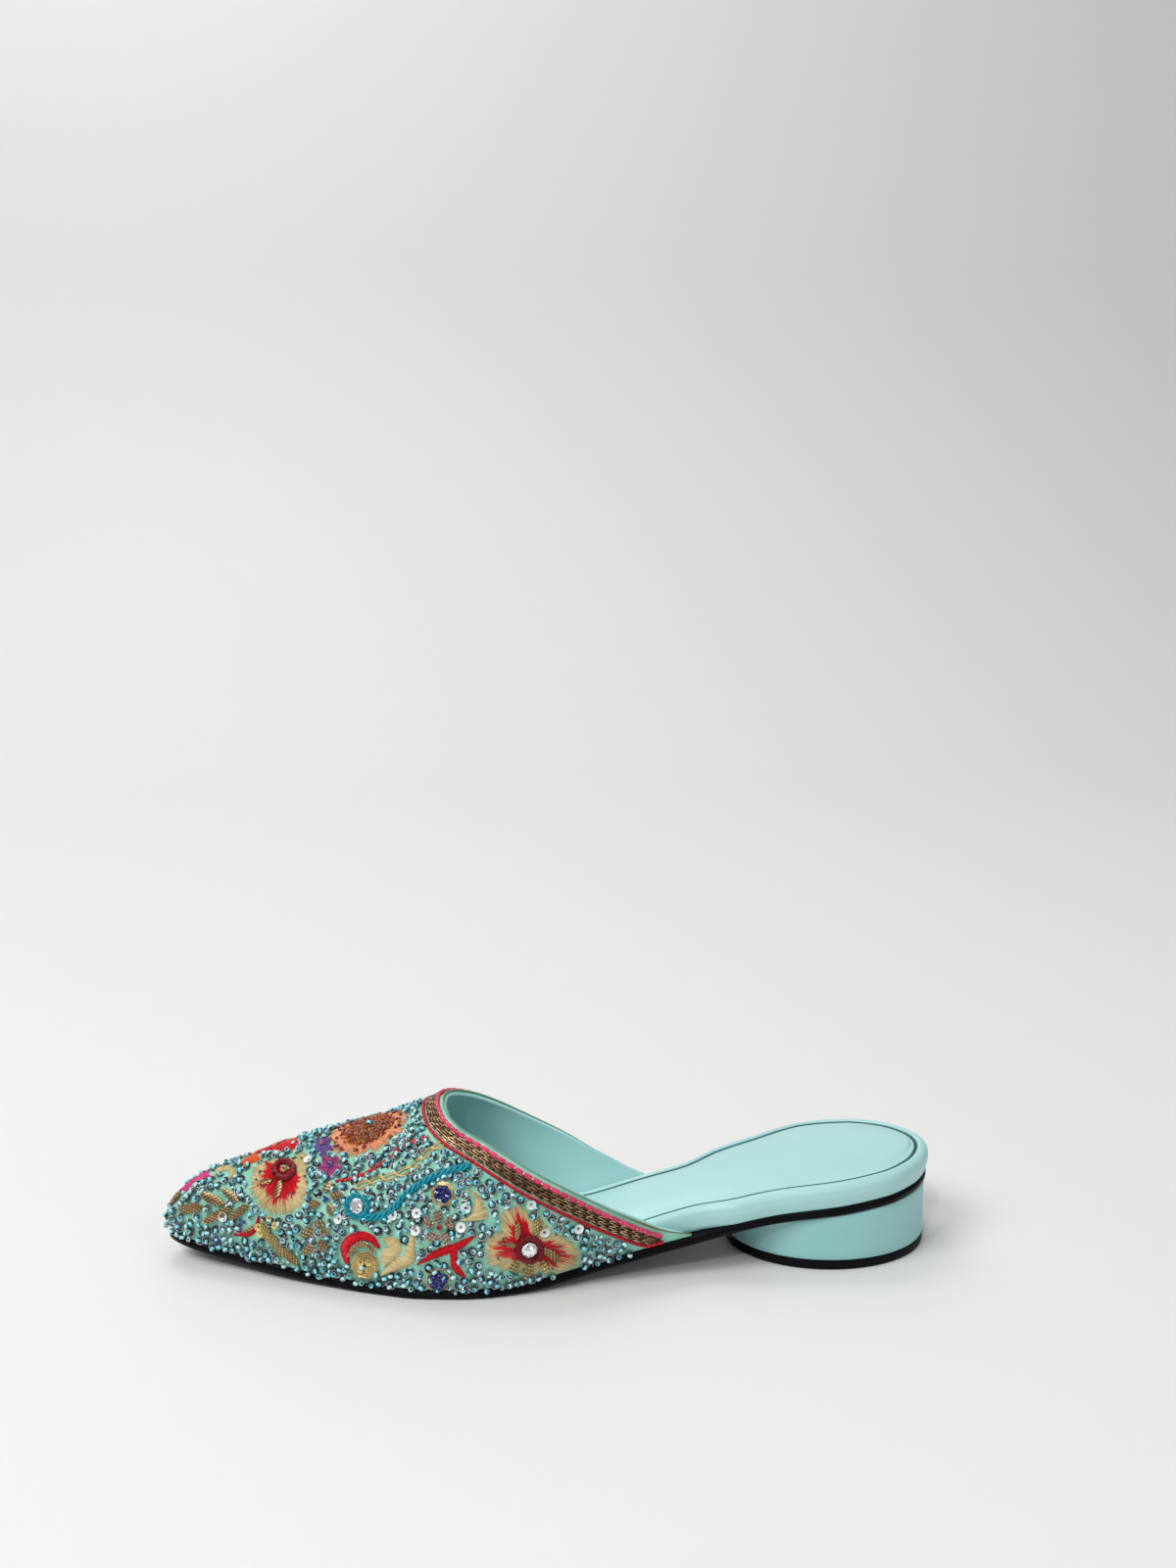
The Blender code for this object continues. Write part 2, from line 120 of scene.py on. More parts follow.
def make_world():
    """Dim room in front, a bright ceiling above: the glossy parts need both to glint."""
    world = bpy.data.worlds.new("studio")
    world.use_nodes = True
    tree = world.node_tree
    way = tree.nodes.new("ShaderNodeTexCoord")
    parts = tree.nodes.new("ShaderNodeSeparateXYZ")
    ramp = tree.nodes.new("ShaderNodeValToRGB")
    tree.links.new(way.outputs["Generated"], parts.inputs["Vector"])
    tree.links.new(parts.outputs["Z"], ramp.inputs["Fac"])
    for stop, place, colour in zip(ramp.color_ramp.elements, (0.12, 0.62), (WORLD_LOW, WORLD_HIGH)):
        stop.position = place
        stop.color = colour
    background = tree.nodes["Background"]
    seen = tree.nodes.new("ShaderNodeLightPath")
    mix = tree.nodes.new("ShaderNodeMix")
    mix.data_type = "RGBA"
    tree.links.new(seen.outputs["Is Camera Ray"], mix.inputs[0])
    tree.links.new(ramp.outputs["Color"], mix.inputs[6])
    mix.inputs[7].default_value = WORLD_SEEN
    tree.links.new(mix.outputs[2], background.inputs["Color"])
    background.inputs["Strength"].default_value = WORLD_STRENGTH
    bpy.context.scene.world = world


make_sweep()
make_world()
for light in LIGHTS:
    add_light(*light)
bpy.context.scene.view_settings.view_transform = "Standard"

# The outsole is thin hard black leather, cut to the last's outline and polished at its edge.
# It is flat under the ball, springs up at the toe and climbs through the arch to the heel.
SOLE_LENGTH = 0.2717
BALL_WIDTH = 0.0738
WAIST_WIDTH = 0.0456
SEAT_WIDTH = 0.0606
HEEL_HEIGHT = 0.0240
TOE_SPRING = 0.0074
SOLE_THICK = 0.0030
REAR = 0.0368
GAP = 0.0003
SOLE_STATIONS = 110
BLACK = (0.004, 0.004, 0.005)
BLACK_LOW = (0.002, 0.002, 0.003)
BLACK_HIGH = (0.007, 0.007, 0.008)
# Station, middle line as a share of BALL_WIDTH, breadth as a share of the width named last
OUTLINE = (
    (0.000, 0.000, 0.000, SEAT_WIDTH),
    (0.039, 0.000, 0.693, SEAT_WIDTH),
    (0.083, 0.000, 0.915, SEAT_WIDTH),
    (0.142, 0.000, 1.000, SEAT_WIDTH),
    (0.231, -0.028, 0.858, SEAT_WIDTH),
    (0.330, -0.082, 1.030, WAIST_WIDTH),
    (0.438, -0.089, 1.066, WAIST_WIDTH),
    (0.546, -0.057, 0.864, BALL_WIDTH),
    (0.635, -0.001, 1.000, BALL_WIDTH),
    (0.680, 0.019, 0.992, BALL_WIDTH),
    (0.724, 0.041, 0.927, BALL_WIDTH),
    (0.823, 0.073, 0.696, BALL_WIDTH),
    (0.921, 0.102, 0.396, BALL_WIDTH),
    (0.975, 0.111, 0.225, BALL_WIDTH),
    (1.000, 0.112, 0.000, BALL_WIDTH),
)
# Station, height of the underside as a share of the height named last
UNDERSIDE = (
    (0.000, 1.000, HEEL_HEIGHT),
    (0.132, 0.858, HEEL_HEIGHT),
    (0.260, 0.652, HEEL_HEIGHT),
    (0.369, 0.400, HEEL_HEIGHT),
    (0.467, 0.167, HEEL_HEIGHT),
    (0.556, 0.029, HEEL_HEIGHT),
    (0.610, 0.000, HEEL_HEIGHT),
    (0.700, 0.000, TOE_SPRING),
    (0.800, 0.162, TOE_SPRING),
    (0.921, 0.541, TOE_SPRING),
    (1.000, 1.000, TOE_SPRING),
)


def smooth_curve(xs, ys):
    """A curve through the points that never overshoots them, as a function."""
    xs = np.array(xs, float)
    ys = np.array(ys, float)
    steps = np.diff(xs)
    rises = np.diff(ys) / steps
    slopes = np.zeros_like(ys)
    for i in range(1, len(xs) - 1):
        if rises[i - 1] * rises[i] > 0:
            before = 2 * steps[i] + steps[i - 1]
            after = steps[i] + 2 * steps[i - 1]
            slopes[i] = (before + after) / (before / rises[i - 1] + after / rises[i])
    slopes[0] = rises[0]
    slopes[-1] = rises[-1]

    def value(x):
        x = np.clip(np.asarray(x, float), xs[0], xs[-1])
        i = np.clip(np.searchsorted(xs, x) - 1, 0, len(xs) - 2)
        step = xs[i + 1] - xs[i]
        t = (x - xs[i]) / step
        start = (1 + 2 * t) * (1 - t) ** 2 * ys[i] + t * (1 - t) ** 2 * step * slopes[i]
        end = t * t * (3 - 2 * t) * ys[i + 1] - t * t * (1 - t) * step * slopes[i + 1]
        return start + end

    return value


def table_curve(table, place, size=1.0):
    """The curve through one column of a table, scaled, over its first column."""
    return smooth_curve([row[0] for row in table], [row[place] * size for row in table])


def unit(vectors, axis=-1):
    return vectors / np.linalg.norm(vectors, axis=axis, keepdims=True)


outline_middle = table_curve(OUTLINE, 1, BALL_WIDTH)
outline_breadth = smooth_curve([row[0] for row in OUTLINE], [(row[2] * row[3] / 2) ** 2 for row in OUTLINE])
underside_height = smooth_curve([row[0] for row in UNDERSIDE], [row[1] * row[2] for row in UNDERSIDE])


def station_at(x):
    return (REAR - np.asarray(x, float)) / SOLE_LENGTH


def underside(x):
    return underside_height(station_at(x))


def sole_top(x):
    return underside(x) + SOLE_THICK


def sole_edge(station, side):
    """Y of the sole's outline; side is -1 on the outer side and 1 on the inner side."""
    return outline_middle(station) + side * np.sqrt(np.clip(outline_breadth(station), 0, None))


def sole_outline(turns):
    """Points of the sole's outline: turn 0 is the back, pi the toe, and minus turns the outer side."""
    station = (1 - np.cos(turns)) / 2
    side = np.where(np.sin(turns) < 0, -1.0, 1.0)
    return np.stack([REAR - station * SOLE_LENGTH, sole_edge(station, side)], axis=-1)


def inward_normals(outline, turns):
    small = 0.004
    along = unit(outline(turns + small) - outline(turns - small))
    return np.stack([-along[..., 1], along[..., 0]], axis=-1)


def new_piece(name, vertices, faces, material, tints=None, sharp=35):
    """A named mesh that rides on the shoe, with a tint for each vertex if one is given."""
    mesh = bpy.data.meshes.new(name)
    mesh.from_pydata(np.asarray(vertices).tolist(), [], faces)
    if tints is not None:
        layer = mesh.color_attributes.new("tint", "FLOAT_COLOR", "POINT")
        colours = np.ones((len(vertices), 4), np.float32)
        colours[:, :3] = tints
        layer.data.foreach_set("color", colours.ravel())
    mesh.shade_smooth()
    mesh.set_sharp_from_angle(angle=math.radians(sharp))
    mesh.materials.append(material)
    piece = bpy.data.objects.new(name, mesh)
    bpy.context.scene.collection.objects.link(piece)
    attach(piece, "root")
    return piece


def slab(name, outline, rings, stations, material, crown=0.0, columns=8, sharp=35):
    """A closed slab of rings; each has an inset from the outline and a height, as functions of x."""
    half = np.pi * np.arange(stations + 1) / stations
    turns = np.concatenate([half, -half[1:-1][::-1]])
    count = len(turns)
    base = outline(turns)
    inward = inward_normals(outline, turns)
    points = []
    for inset, height in rings:
        plan = base + inward * np.broadcast_to(inset(base[:, 0]), count)[:, None]
        level = np.broadcast_to(height(plan[:, 0]), count)
        points.append(np.column_stack([plan, level]))
    vertices = [tuple(p) for ring in points for p in ring]
    faces = []
    for ring in range(len(rings) - 1):
        for k in range(count):
            after = (k + 1) % count
            low, high = ring * count, (ring + 1) * count
            faces.append((low + k, low + after, high + after, high + k))
    for ring, swell, upward in ((0, 0.0, False), (len(rings) - 1, crown, True)):
        first = ring * count
        height = rings[ring][1]
        rows = [[first]]
        for k in range(1, stations):
            inner, outer = first + k, first + count - k
            a, b = np.array(vertices[outer]), np.array(vertices[inner])
            row = [outer]
            for c in range(1, columns):
                share = c / columns
                x, y = (a + (b - a) * share)[:2]
                rise = swell * (1 - abs(2 * share - 1) ** 3.5) * math.sin(math.pi * k / stations) ** 0.5
                row.append(len(vertices))
                vertices.append((x, y, float(height(x)) + rise))
            rows.append([*row, inner])
        rows.append([first + stations])
        for near, far in zip(rows, rows[1:]):
            for c in range(max(len(near), len(far)) - 1):
                a, b = near[min(c, len(near) - 1)], near[min(c + 1, len(near) - 1)]
                d, e = far[min(c, len(far) - 1)], far[min(c + 1, len(far) - 1)]
                face = list(dict.fromkeys((a, b, e, d)))
                faces.append(tuple(face if upward else reversed(face)))
    return new_piece(name, vertices, faces, material, sharp=sharp)


def add_node(material, kind, **inputs):
    """A shader node with some of its sockets set; a socket value or another node's output."""
    tree = getattr(material, "node_tree", material)
    node = tree.nodes.new(kind)
    for key, value in inputs.items():
        socket = node.inputs[key.replace("_", " ")]
        if isinstance(value, bpy.types.NodeSocket):
            tree.links.new(value, socket)
        else:
            socket.default_value = value
    return node


def link(material, output, socket_name):
    shader = material.node_tree.nodes["Principled BSDF"]
    material.node_tree.links.new(output, shader.inputs[socket_name])


def object_place(material):
    return add_node(material, "ShaderNodeTexCoord").outputs["Object"]


def noise(material, place, scale, detail):
    node = add_node(material, "ShaderNodeTexNoise", Vector=place, Scale=scale, Detail=detail)
    return node.outputs["Fac"]


def add_up(material, first, second, factor=1.0):
    """The first value times a factor, plus the second."""
    node = add_node(material, "ShaderNodeMath")
    node.operation = "MULTIPLY_ADD"
    tree = getattr(material, "node_tree", material)
    tree.links.new(first, node.inputs[0])
    node.inputs[1].default_value = factor
    tree.links.new(second, node.inputs[2])
    return node.outputs[0]


def colour_between(material, share, low, high, blend="MIX"):
    """A colour that goes from low to high as a mask goes from 0 to 1; low may be another node's."""
    mix = add_node(material, "ShaderNodeMix")
    mix.data_type = "RGBA"
    mix.blend_type = blend
    material.node_tree.links.new(share, mix.inputs[0])
    if isinstance(low, bpy.types.NodeSocket):
        material.node_tree.links.new(low, mix.inputs[6])
    else:
        mix.inputs[6].default_value = (*low, 1.0)
    mix.inputs[7].default_value = (*high, 1.0)
    return mix.outputs[2]


def between(material, value, **ends):
    """A value moved from one range to another; the ends name the node's sockets."""
    return add_node(material, "ShaderNodeMapRange", Value=value, **ends).outputs["Result"]


def group_node(material, group, **inputs):
    """A node group in a material, fed with the place on the object."""
    node = material.node_tree.nodes.new("ShaderNodeGroup")
    node.node_tree = group
    material.node_tree.links.new(object_place(material), node.inputs["Place"])
    for key, value in inputs.items():
        node.inputs[key].default_value = value
    return node


def new_group(name, given, out):
    """An empty node group with a place, one number as input, and two numbers as outputs."""
    group = bpy.data.node_groups.new(name, "ShaderNodeTree")
    group.interface.new_socket("Place", in_out="INPUT", socket_type="NodeSocketVector")
    group.interface.new_socket(given, in_out="INPUT", socket_type="NodeSocketFloat")
    for socket in out:
        group.interface.new_socket(socket, in_out="OUTPUT", socket_type="NodeSocketFloat")
    return group, group.nodes.new("NodeGroupInput"), group.nodes.new("NodeGroupOutput")


def bump(material, height, distance, strength=1.0):
    node = add_node(material, "ShaderNodeBump", Height=height, Distance=distance, Strength=strength)
    link(material, node.outputs["Normal"], "Normal")


def scuff_group():
    """Fine scratches and a soft cloudiness, for black rubber and polished edges."""
    group, given, out = new_group("scuffs", "Grain", ("Cloud", "Height"))
    place = given.outputs["Place"]
    group.links.new(noise(group, place, 90.0, 4.0), out.inputs["Cloud"])
    group.links.new(noise(group, place, given.outputs["Grain"], 3.0), out.inputs["Height"])
    return group


scuffs = scuff_group()


def black_material(name, grain, roughness):
    """Black edge dye or rubber with faint scuffs."""
    material = new_material(name, BLACK, roughness, Specular_IOR_Level=0.08)
    node = group_node(material, scuffs, Grain=grain)
    cloud = node.outputs["Cloud"]
    link(material, colour_between(material, cloud, BLACK_LOW, BLACK_HIGH), "Base Color")
    rough = between(material, cloud, To_Min=roughness - 0.1, To_Max=roughness + 0.12)
    link(material, rough, "Roughness")
    bump(material, node.outputs["Height"], 0.00008)
    return material


# Rings of the edge: inset in metres and height as a share of SOLE_THICK, with a fine groove
SOLE_RINGS = (
    (0.0009, 0.00),
    (0.0004, 0.03),
    (0.0001, 0.13),
    (0.0000, 0.30),
    (0.0000, 0.60),
    (0.0003, 0.66),
    (0.0003, 0.70),
    (0.0000, 0.76),
    (0.0002, 0.93),
    (0.0006, 1.00),
)


def flat_ring(inset, height):
    return (lambda x: np.full(np.shape(x), inset)), height


outsole = slab(
    "outsole_leather",
    sole_outline,
    [flat_ring(inset, lambda x, s=share: underside(x) + s * SOLE_THICK) for inset, share in SOLE_RINGS],
    SOLE_STATIONS,
    black_material("black_sole_edge", 900.0, 0.36),
    sharp=60,
)
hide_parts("outsole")

# The heel is a low oval block wrapped in the footbed's turquoise leather, with a black rubber
# lift glued and nailed under it. The block's top is cut to the slope of the outsole.
HEEL_LENGTH = 0.0720
HEEL_WIDTH = 0.0592
TOP_LIFT_THICK = 0.0033
HEEL_ROWS = 8
HEEL_STATIONS = 80
# The heel's leather colours are the footbed leather's made darker: painted shade for the heel's upright
# sides.
HEEL_SHADED_LOW = (0.280, 0.590, 0.580)
HEEL_SHADED_HIGH = (0.318, 0.635, 0.622)


def heel_outline(turns):
    return np.stack([HEEL_LENGTH / 2 * np.cos(turns), HEEL_WIDTH / 2 * np.sin(turns)], axis=-1)


def leather_group():
    """Fine leather grain: a pebbled height, and a soft mottle for colour and gloss."""
    group, given, out = new_group("leather_grain", "Pebble", ("Height", "Mottle"))
    place = given.outputs["Place"]
    pebble = add_node(group, "ShaderNodeTexVoronoi", Vector=place, Scale=given.outputs["Pebble"])
    pebble.feature = "SMOOTH_F1"
    pores = noise(group, place, 700.0, 3.0)
    wrinkles = noise(group, place, 120.0, 5.0)
    grain = add_up(group, pebble.outputs["Distance"], pores, 0.7)
    group.links.new(add_up(group, grain, wrinkles), out.inputs["Height"])
    group.links.new(noise(group, place, 28.0, 6.0), out.inputs["Mottle"])
    return group


leather_grain = leather_group()


def leather_material(name, low, high, roughness):
    """Turquoise goat leather with a satin coat."""
    material = new_material(name, high, roughness, Coat_Weight=0.25, Coat_Roughness=0.3)
    node = group_node(material, leather_grain, Pebble=1100.0)
    mottle = node.outputs["Mottle"]
    share = between(material, mottle, From_Min=0.3, From_Max=0.7)
    link(material, colour_between(material, share, low, high), "Base Color")
    rough = between(material, mottle, To_Min=roughness - 0.06, To_Max=roughness + 0.08)
    link(material, rough, "Roughness")
    bump(material, node.outputs["Height"], 0.00006, 0.6)
    return material


def heel_height(share):
    """A level of the block, as a function of x, from the lift's top up to the sloping sole."""
    foot = TOP_LIFT_THICK + GAP
    return lambda x: foot + share * (underside(x) - GAP - foot)


heel_leather = leather_material("heel_leather", HEEL_SHADED_LOW, HEEL_SHADED_HIGH, 0.46)
heel_levels = 0.02 + 0.96 * np.arange(HEEL_ROWS + 1) / HEEL_ROWS
heel_rings = [flat_ring(0.0002, heel_height(0.0))]
heel_rings += [flat_ring(0.0, heel_height(level)) for level in heel_levels]
heel_rings.append(flat_ring(0.0003, heel_height(1.0)))
heel_cover = slab(
    "heel_cover", heel_outline, heel_rings, HEEL_STATIONS, heel_leather, sharp=60
)
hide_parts("heel_block")

# Inset in metres, height as a share of TOP_LIFT_THICK
LIFT_RINGS = ((0.0005, 0.0), (0.0001, 0.10), (0.0, 0.25), (0.0, 0.85), (0.0002, 1.0))
heel_lift = slab(
    "rubber_top_lift",
    heel_outline,
    [flat_ring(inset, lambda x, s=share: s * TOP_LIFT_THICK + 0 * x) for inset, share in LIFT_RINGS],
    HEEL_STATIONS,
    black_material("black_rubber", 1600.0, 0.42),
    sharp=60,
)
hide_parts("top_lift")

# The footbed is a board wrapped in turquoise leather with a soft rolled edge. A padded sock
# lining is laid into it, and a dark strip in the seam between the two paints its shadow as a
# fine dark line all round.
FOOTBED_THICK = 0.0084
FOOTBED_SWELL = 0.0007
RIM_WIDTH = 0.0033
FEATHER_INSET = 0.0009
WALL = 0.0022
SOCK_THICK = 0.0012
SOCK_CROWN = 0.0026
SEAM_WIDTH = 0.00060
SEAM_SHADOW_DARK = (0.012, 0.060, 0.060)
SEAM_SHADOW_LIGHT = (0.028, 0.130, 0.130)
LEATHER_LOW = (0.385, 0.690, 0.680)
LEATHER_HIGH = (0.430, 0.735, 0.725)
# Station, thickness as a share of FOOTBED_THICK
FOOTBED_BODY = ((0.00, 1.00), (0.34, 1.00), (0.46, 0.78), (0.60, 0.52), (1.00, 0.42))
# Station, share of the room kept for the upper's wall, share of RIM_WIDTH
INSIDE_UPPER = (
    (0.00, 0.0, 1.00),
    (0.27, 0.0, 1.00),
    (0.33, 1.0, 1.00),
    (0.62, 1.0, 1.00),
    (0.80, 1.1, 0.50),
    (1.00, 1.2, 0.20),
)
# Inset as a share of the rim, height as a share of the thickness, share of FOOTBED_SWELL
ROLLED_EDGE = (
    (0.10, 0.00, 0.0),
    (0.00, 0.14, 0.2),
    (0.00, 0.46, 1.0),
    (0.05, 0.70, 0.9),
    (0.26, 0.88, 0.4),
    (0.62, 0.96, 0.0),
    (0.90, 0.94, 0.0),
    (1.00, 0.86, 0.0),
)
ROLL_ROWS = 29
footbed_thick = table_curve(FOOTBED_BODY, 1, FOOTBED_THICK)
wall_room = table_curve(INSIDE_UPPER, 1)
rim_width = table_curve(INSIDE_UPPER, 2, RIM_WIDTH)
roll_curves = [smooth_curve(range(len(ROLLED_EDGE)), values) for values in zip(*ROLLED_EDGE)]


def rim_inset(x, share):
    """Distance from the sole's outline to a line on the footbed's rim."""
    station = station_at(x)
    return wall_room(station) * (FEATHER_INSET + WALL + GAP) + share * rim_width(station)


def footbed_ring(row):
    inset_share, height_share, swell_share = (float(curve(row)) for curve in roll_curves)

    def inset(x):
        swell = swell_share * FOOTBED_SWELL * np.maximum(0.0, 1 - wall_room(station_at(x)))
        return rim_inset(x, inset_share) - swell

    def height(x):
        return sole_top(x) + GAP + height_share * footbed_thick(station_at(x))

    return inset, height


def tray_floor(x):
    return sole_top(x) + GAP + 0.90 * footbed_thick(station_at(x)) - SOCK_THICK - GAP


footbed_leather = leather_material("footbed_leather", LEATHER_LOW, LEATHER_HIGH, 0.40)
footbed_rings = [footbed_ring(row) for row in np.linspace(0, len(ROLLED_EDGE) - 1, ROLL_ROWS)]
footbed_rings.append((footbed_rings[-1][0], tray_floor))
footbed_cover = slab(
    "footbed_cover",
    sole_outline,
    footbed_rings,
    SOLE_STATIONS,
    footbed_leather,
    sharp=60,
)
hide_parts("footbed")

# Inset beyond the seam in metres, height as a share of SOCK_THICK
SOCK_RINGS = ((0.0, 0.0), (0.0, 0.45), (0.0001, 0.75), (0.0004, 0.95), (0.0009, 1.05), (0.0017, 1.12))


def sock_ring(extra, share):
    def inset(x):
        return rim_inset(x, 1.0) + SEAM_WIDTH + extra * rim_width(station_at(x)) / RIM_WIDTH

    return inset, (lambda x: tray_floor(x) + GAP + share * SOCK_THICK)


sock_leather = leather_material("sock_leather", LEATHER_LOW, LEATHER_HIGH, 0.43)
sock_lining = slab(
    "padded_sock",
    sole_outline,
    [sock_ring(extra, share) for extra, share in SOCK_RINGS],
    SOLE_STATIONS,
    sock_leather,
    crown=SOCK_CROWN,
    columns=14,
    sharp=60,
)
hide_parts("sock")


def seam_ring(extra, share):
    return (lambda x: rim_inset(x, 1.0) + extra), (lambda x: tray_floor(x) + GAP + share * SOCK_THICK)


def fine_mottle(name, low, high, roughness, scale):
    """Matt finish for painted shade, the braid's near-black ground and the seam's dark strip: a fine
    irregular grain in tone and height.
    """
    material = new_material(name, high, roughness)
    grain = noise(material, object_place(material), scale, 3.0)
    link(material, colour_between(material, grain, low, high), "Base Color")
    bump(material, grain, 0.00008, 0.5)
    return material


# Inset from the rim in metres, height as a share of SOCK_THICK
SEAM_RINGS = ((0.00004, 0.3), (0.00004, 1.00), (0.00026, 1.05), (0.00050, 1.00))
# A dark strip in the groove between the rim and the sock paints the seam's shadow.
slab(
    "sock_seam_shadow",
    sole_outline,
    [seam_ring(extra, share) for extra, share in SEAM_RINGS],
    SOLE_STATIONS,
    fine_mottle("seam_shadow", SEAM_SHADOW_DARK, SEAM_SHADOW_LIGHT, 0.8, 1300.0),
)

# The upper is mint silk on a firm backing, lasted over the toe and glued in above the outsole.
# A turquoise leather lining stands inside it and is rolled over at the topline.
INSTEP_HEIGHT = 0.0574
NOSE_LENGTH = 0.019
BODY_SWELL = 0.0068
ARCH_POWER = 2.25
WING_START = 0.996
SILK_THICK = 0.0009
LINING_ROLL = 0.0006
WING_TAPER = 0.010
SHORT_RIB = 0.008
LONG_RIB = 0.018
UPPER_RIBS = 84
UPPER_ROWS = 44
SILK_LOW = (0.180, 0.510, 0.380)
SILK_HIGH = (0.380, 0.800, 0.620)
# Station, height of the ridge as a share of INSTEP_HEIGHT, its middle as a share of BALL_WIDTH
RIDGE = (
    (0.250, 1.150, 0.000),
    (0.450, 1.124, 0.000),
    (0.566, 1.054, 0.000),
    (0.625, 1.000, 0.014),
    (0.684, 0.882, 0.028),
    (0.763, 0.779, 0.052),
    (0.842, 0.688, 0.079),
    (0.911, 0.575, 0.100),
    (0.960, 0.498, 0.108),
    (1.000, 0.436, 0.112),
)
# Station, outer and inner shares of BODY_SWELL
SWELL = (
    (0.300, 0.40, 0.40),
    (0.360, 0.74, 0.80),
    (0.450, 0.90, 1.00),
    (0.530, 0.88, 0.95),
    (0.600, 0.66, 0.74),
    (0.680, 0.37, 0.40),
    (0.800, 0.24, 0.24),
    (1.000, 0.18, 0.18),
)
# Girth, from -1 at the outer sole edge to 1 at the inner one, and the topline's station there
TOPLINE = (
    (-0.996, 0.334),
    (-0.968, 0.362),
    (-0.930, 0.385),
    (-0.860, 0.418),
    (-0.740, 0.473),
    (-0.590, 0.531),
    (-0.410, 0.588),
    (-0.260, 0.626),
    (-0.140, 0.639),
    (0.000, 0.6435),
    (0.160, 0.639),
    (0.280, 0.626),
    (0.430, 0.594),
    (0.620, 0.532),
    (0.755, 0.470),
    (0.860, 0.420),
    (0.930, 0.386),
    (0.968, 0.362),
    (0.996, 0.334),
)
ridge_height = table_curve(RIDGE, 1, INSTEP_HEIGHT)
ridge_middle = table_curve(RIDGE, 2, BALL_WIDTH)
outer_swell = table_curve(SWELL, 1, BODY_SWELL)
inner_swell = table_curve(SWELL, 2, BODY_SWELL)
topline_station = table_curve(TOPLINE, 1)


def arch_points(station, girth):
    """Points on the upper's outer face."""
    station, girth = np.broadcast_arrays(station, np.clip(girth, -1.0, 1.0))
    side = np.where(girth < 0, -1.0, 1.0)
    turn = np.abs(girth) * np.pi / 2
    across = np.sin(turn) ** (2 / ARCH_POWER)
    rise = np.clip(np.cos(turn), 0, None) ** (2 / ARCH_POWER)
    outline_turn = side * np.arccos(np.clip(1 - 2 * station, -1.0, 1.0))
    inward = inward_normals(sole_outline, outline_turn)
    foot = sole_outline(outline_turn) + inward * FEATHER_INSET
    x = REAR - station * SOLE_LENGTH
    base = sole_top(x) + GAP
    nose = np.clip((station - 1) * SOLE_LENGTH / NOSE_LENGTH + 1, 0.0, 1.0)
    height = (ridge_height(station) - base) * (1 - nose**2.6) ** (1 / 2.6)
    swell = np.where(side < 0, outer_swell(station), inner_swell(station))
    swell = swell * np.sin(np.pi * (1 - np.abs(girth)) ** 0.75)
    middle = ridge_middle(station)
    return np.stack(
        [
            x + (foot[..., 0] - x) * across - inward[..., 0] * swell,
            middle + (foot[..., 1] - middle) * across - inward[..., 1] * swell,
            base + height * rise,
        ],
        axis=-1,
    )


def run_lengths(points):
    return np.concatenate([[0], np.cumsum(np.linalg.norm(np.diff(points, axis=0), axis=1))])


def resample(wanted, lengths, points):
    """Points of a line at wanted distances along it."""
    return np.stack([np.interp(wanted, lengths, values) for values in np.transpose(points)], axis=-1)


def rib(share, count, samples=160):
    """Points of one rib from the sole edge up to the topline; share -1 and 1 are the wing ends."""
    side = -1.0 if share < 0 else 1.0
    along = 1 - abs(share)
    top_girth = side * WING_START * (1 - along**0.8)
    wing_end = float(topline_station(side * WING_START))
    feather = min(1.0, wing_end + (1 - wing_end) * math.sin(along * math.pi / 2) ** 1.12)
    top = float(topline_station(top_girth))
    foot_y = float(sole_edge(feather, side))
    middle = float(ridge_middle(top))
    reach = float(sole_edge(top, side)) - middle
    top_y = middle + reach * math.sin(abs(top_girth) * math.pi / 2) ** (2 / ARCH_POWER)
    plan = min(1.0, max(0.0, (along - 0.25) / 0.35))
    plan = plan * plan * (3 - 2 * plan)
    way = np.linspace(0, 1, samples + 1) ** 2
    station = feather + (top - feather) * way
    straight = side + (top_girth - side) * way**0.5
    y = foot_y + (top_y - foot_y) * way
    here = ridge_middle(station)
    over_side = np.where(y < here, -1.0, 1.0)
    breadth = np.abs(sole_edge(station, over_side) - here)
    across = np.clip(np.abs(y - here) / np.maximum(breadth, 1e-6), 0, 1)
    over = over_side * np.arcsin(across ** (ARCH_POWER / 2)) * 2 / np.pi
    points = arch_points(station, straight + (over - straight) * plan)
    lengths = run_lengths(points)
    return resample(lengths[-1] * np.linspace(0, 1, count) ** 1.35, lengths, points)


def grid_normals(grid):
    return unit(np.cross(np.gradient(grid, axis=1), np.gradient(grid, axis=0)))


rib_shares = np.arange(-UPPER_RIBS, UPPER_RIBS + 1) / UPPER_RIBS
outer_face = np.array([rib(share, UPPER_ROWS) for share in rib_shares])
rib_length = np.linalg.norm(outer_face[:, -1] - outer_face[:, 0], axis=1)
face_normals = grid_normals(outer_face)
long_ribs = np.flatnonzero(rib_length > LONG_RIB)
wing_ribs = (
    (long_ribs[0], range(long_ribs[0])),
    (long_ribs[-1], range(long_ribs[-1], len(rib_shares))),
)
# Towards a wing's tip the normals settle on one direction
for first, ribs in wing_ribs:
    steady = face_normals[first, UPPER_ROWS // 2]
    for i in ribs:
        share = min(1.0, max(0.0, (rib_length[i] - SHORT_RIB) / (LONG_RIB - SHORT_RIB)))
        face_normals[i] = unit(face_normals[i] * share + steady * (1 - share))


def moved_face(depth):
    """The outer face moved inwards, thinner at the wing tips, its sole edge kept at its height."""
    thin = depth * np.clip(rib_length / WING_TAPER, 0.1, 1.0)[:, None]
    moved = outer_face - face_normals * thin[:, :, None]
    moved[:, 0, :2] = outer_face[:, 0, :2] - unit(face_normals[:, 0, :2]) * thin
    moved[:, 0, 2] = outer_face[:, 0, 2]
    moved[:, 1:, 2] = np.maximum(moved[:, 1:, 2], outer_face[:, :1, 2] + 1e-5)
    return moved


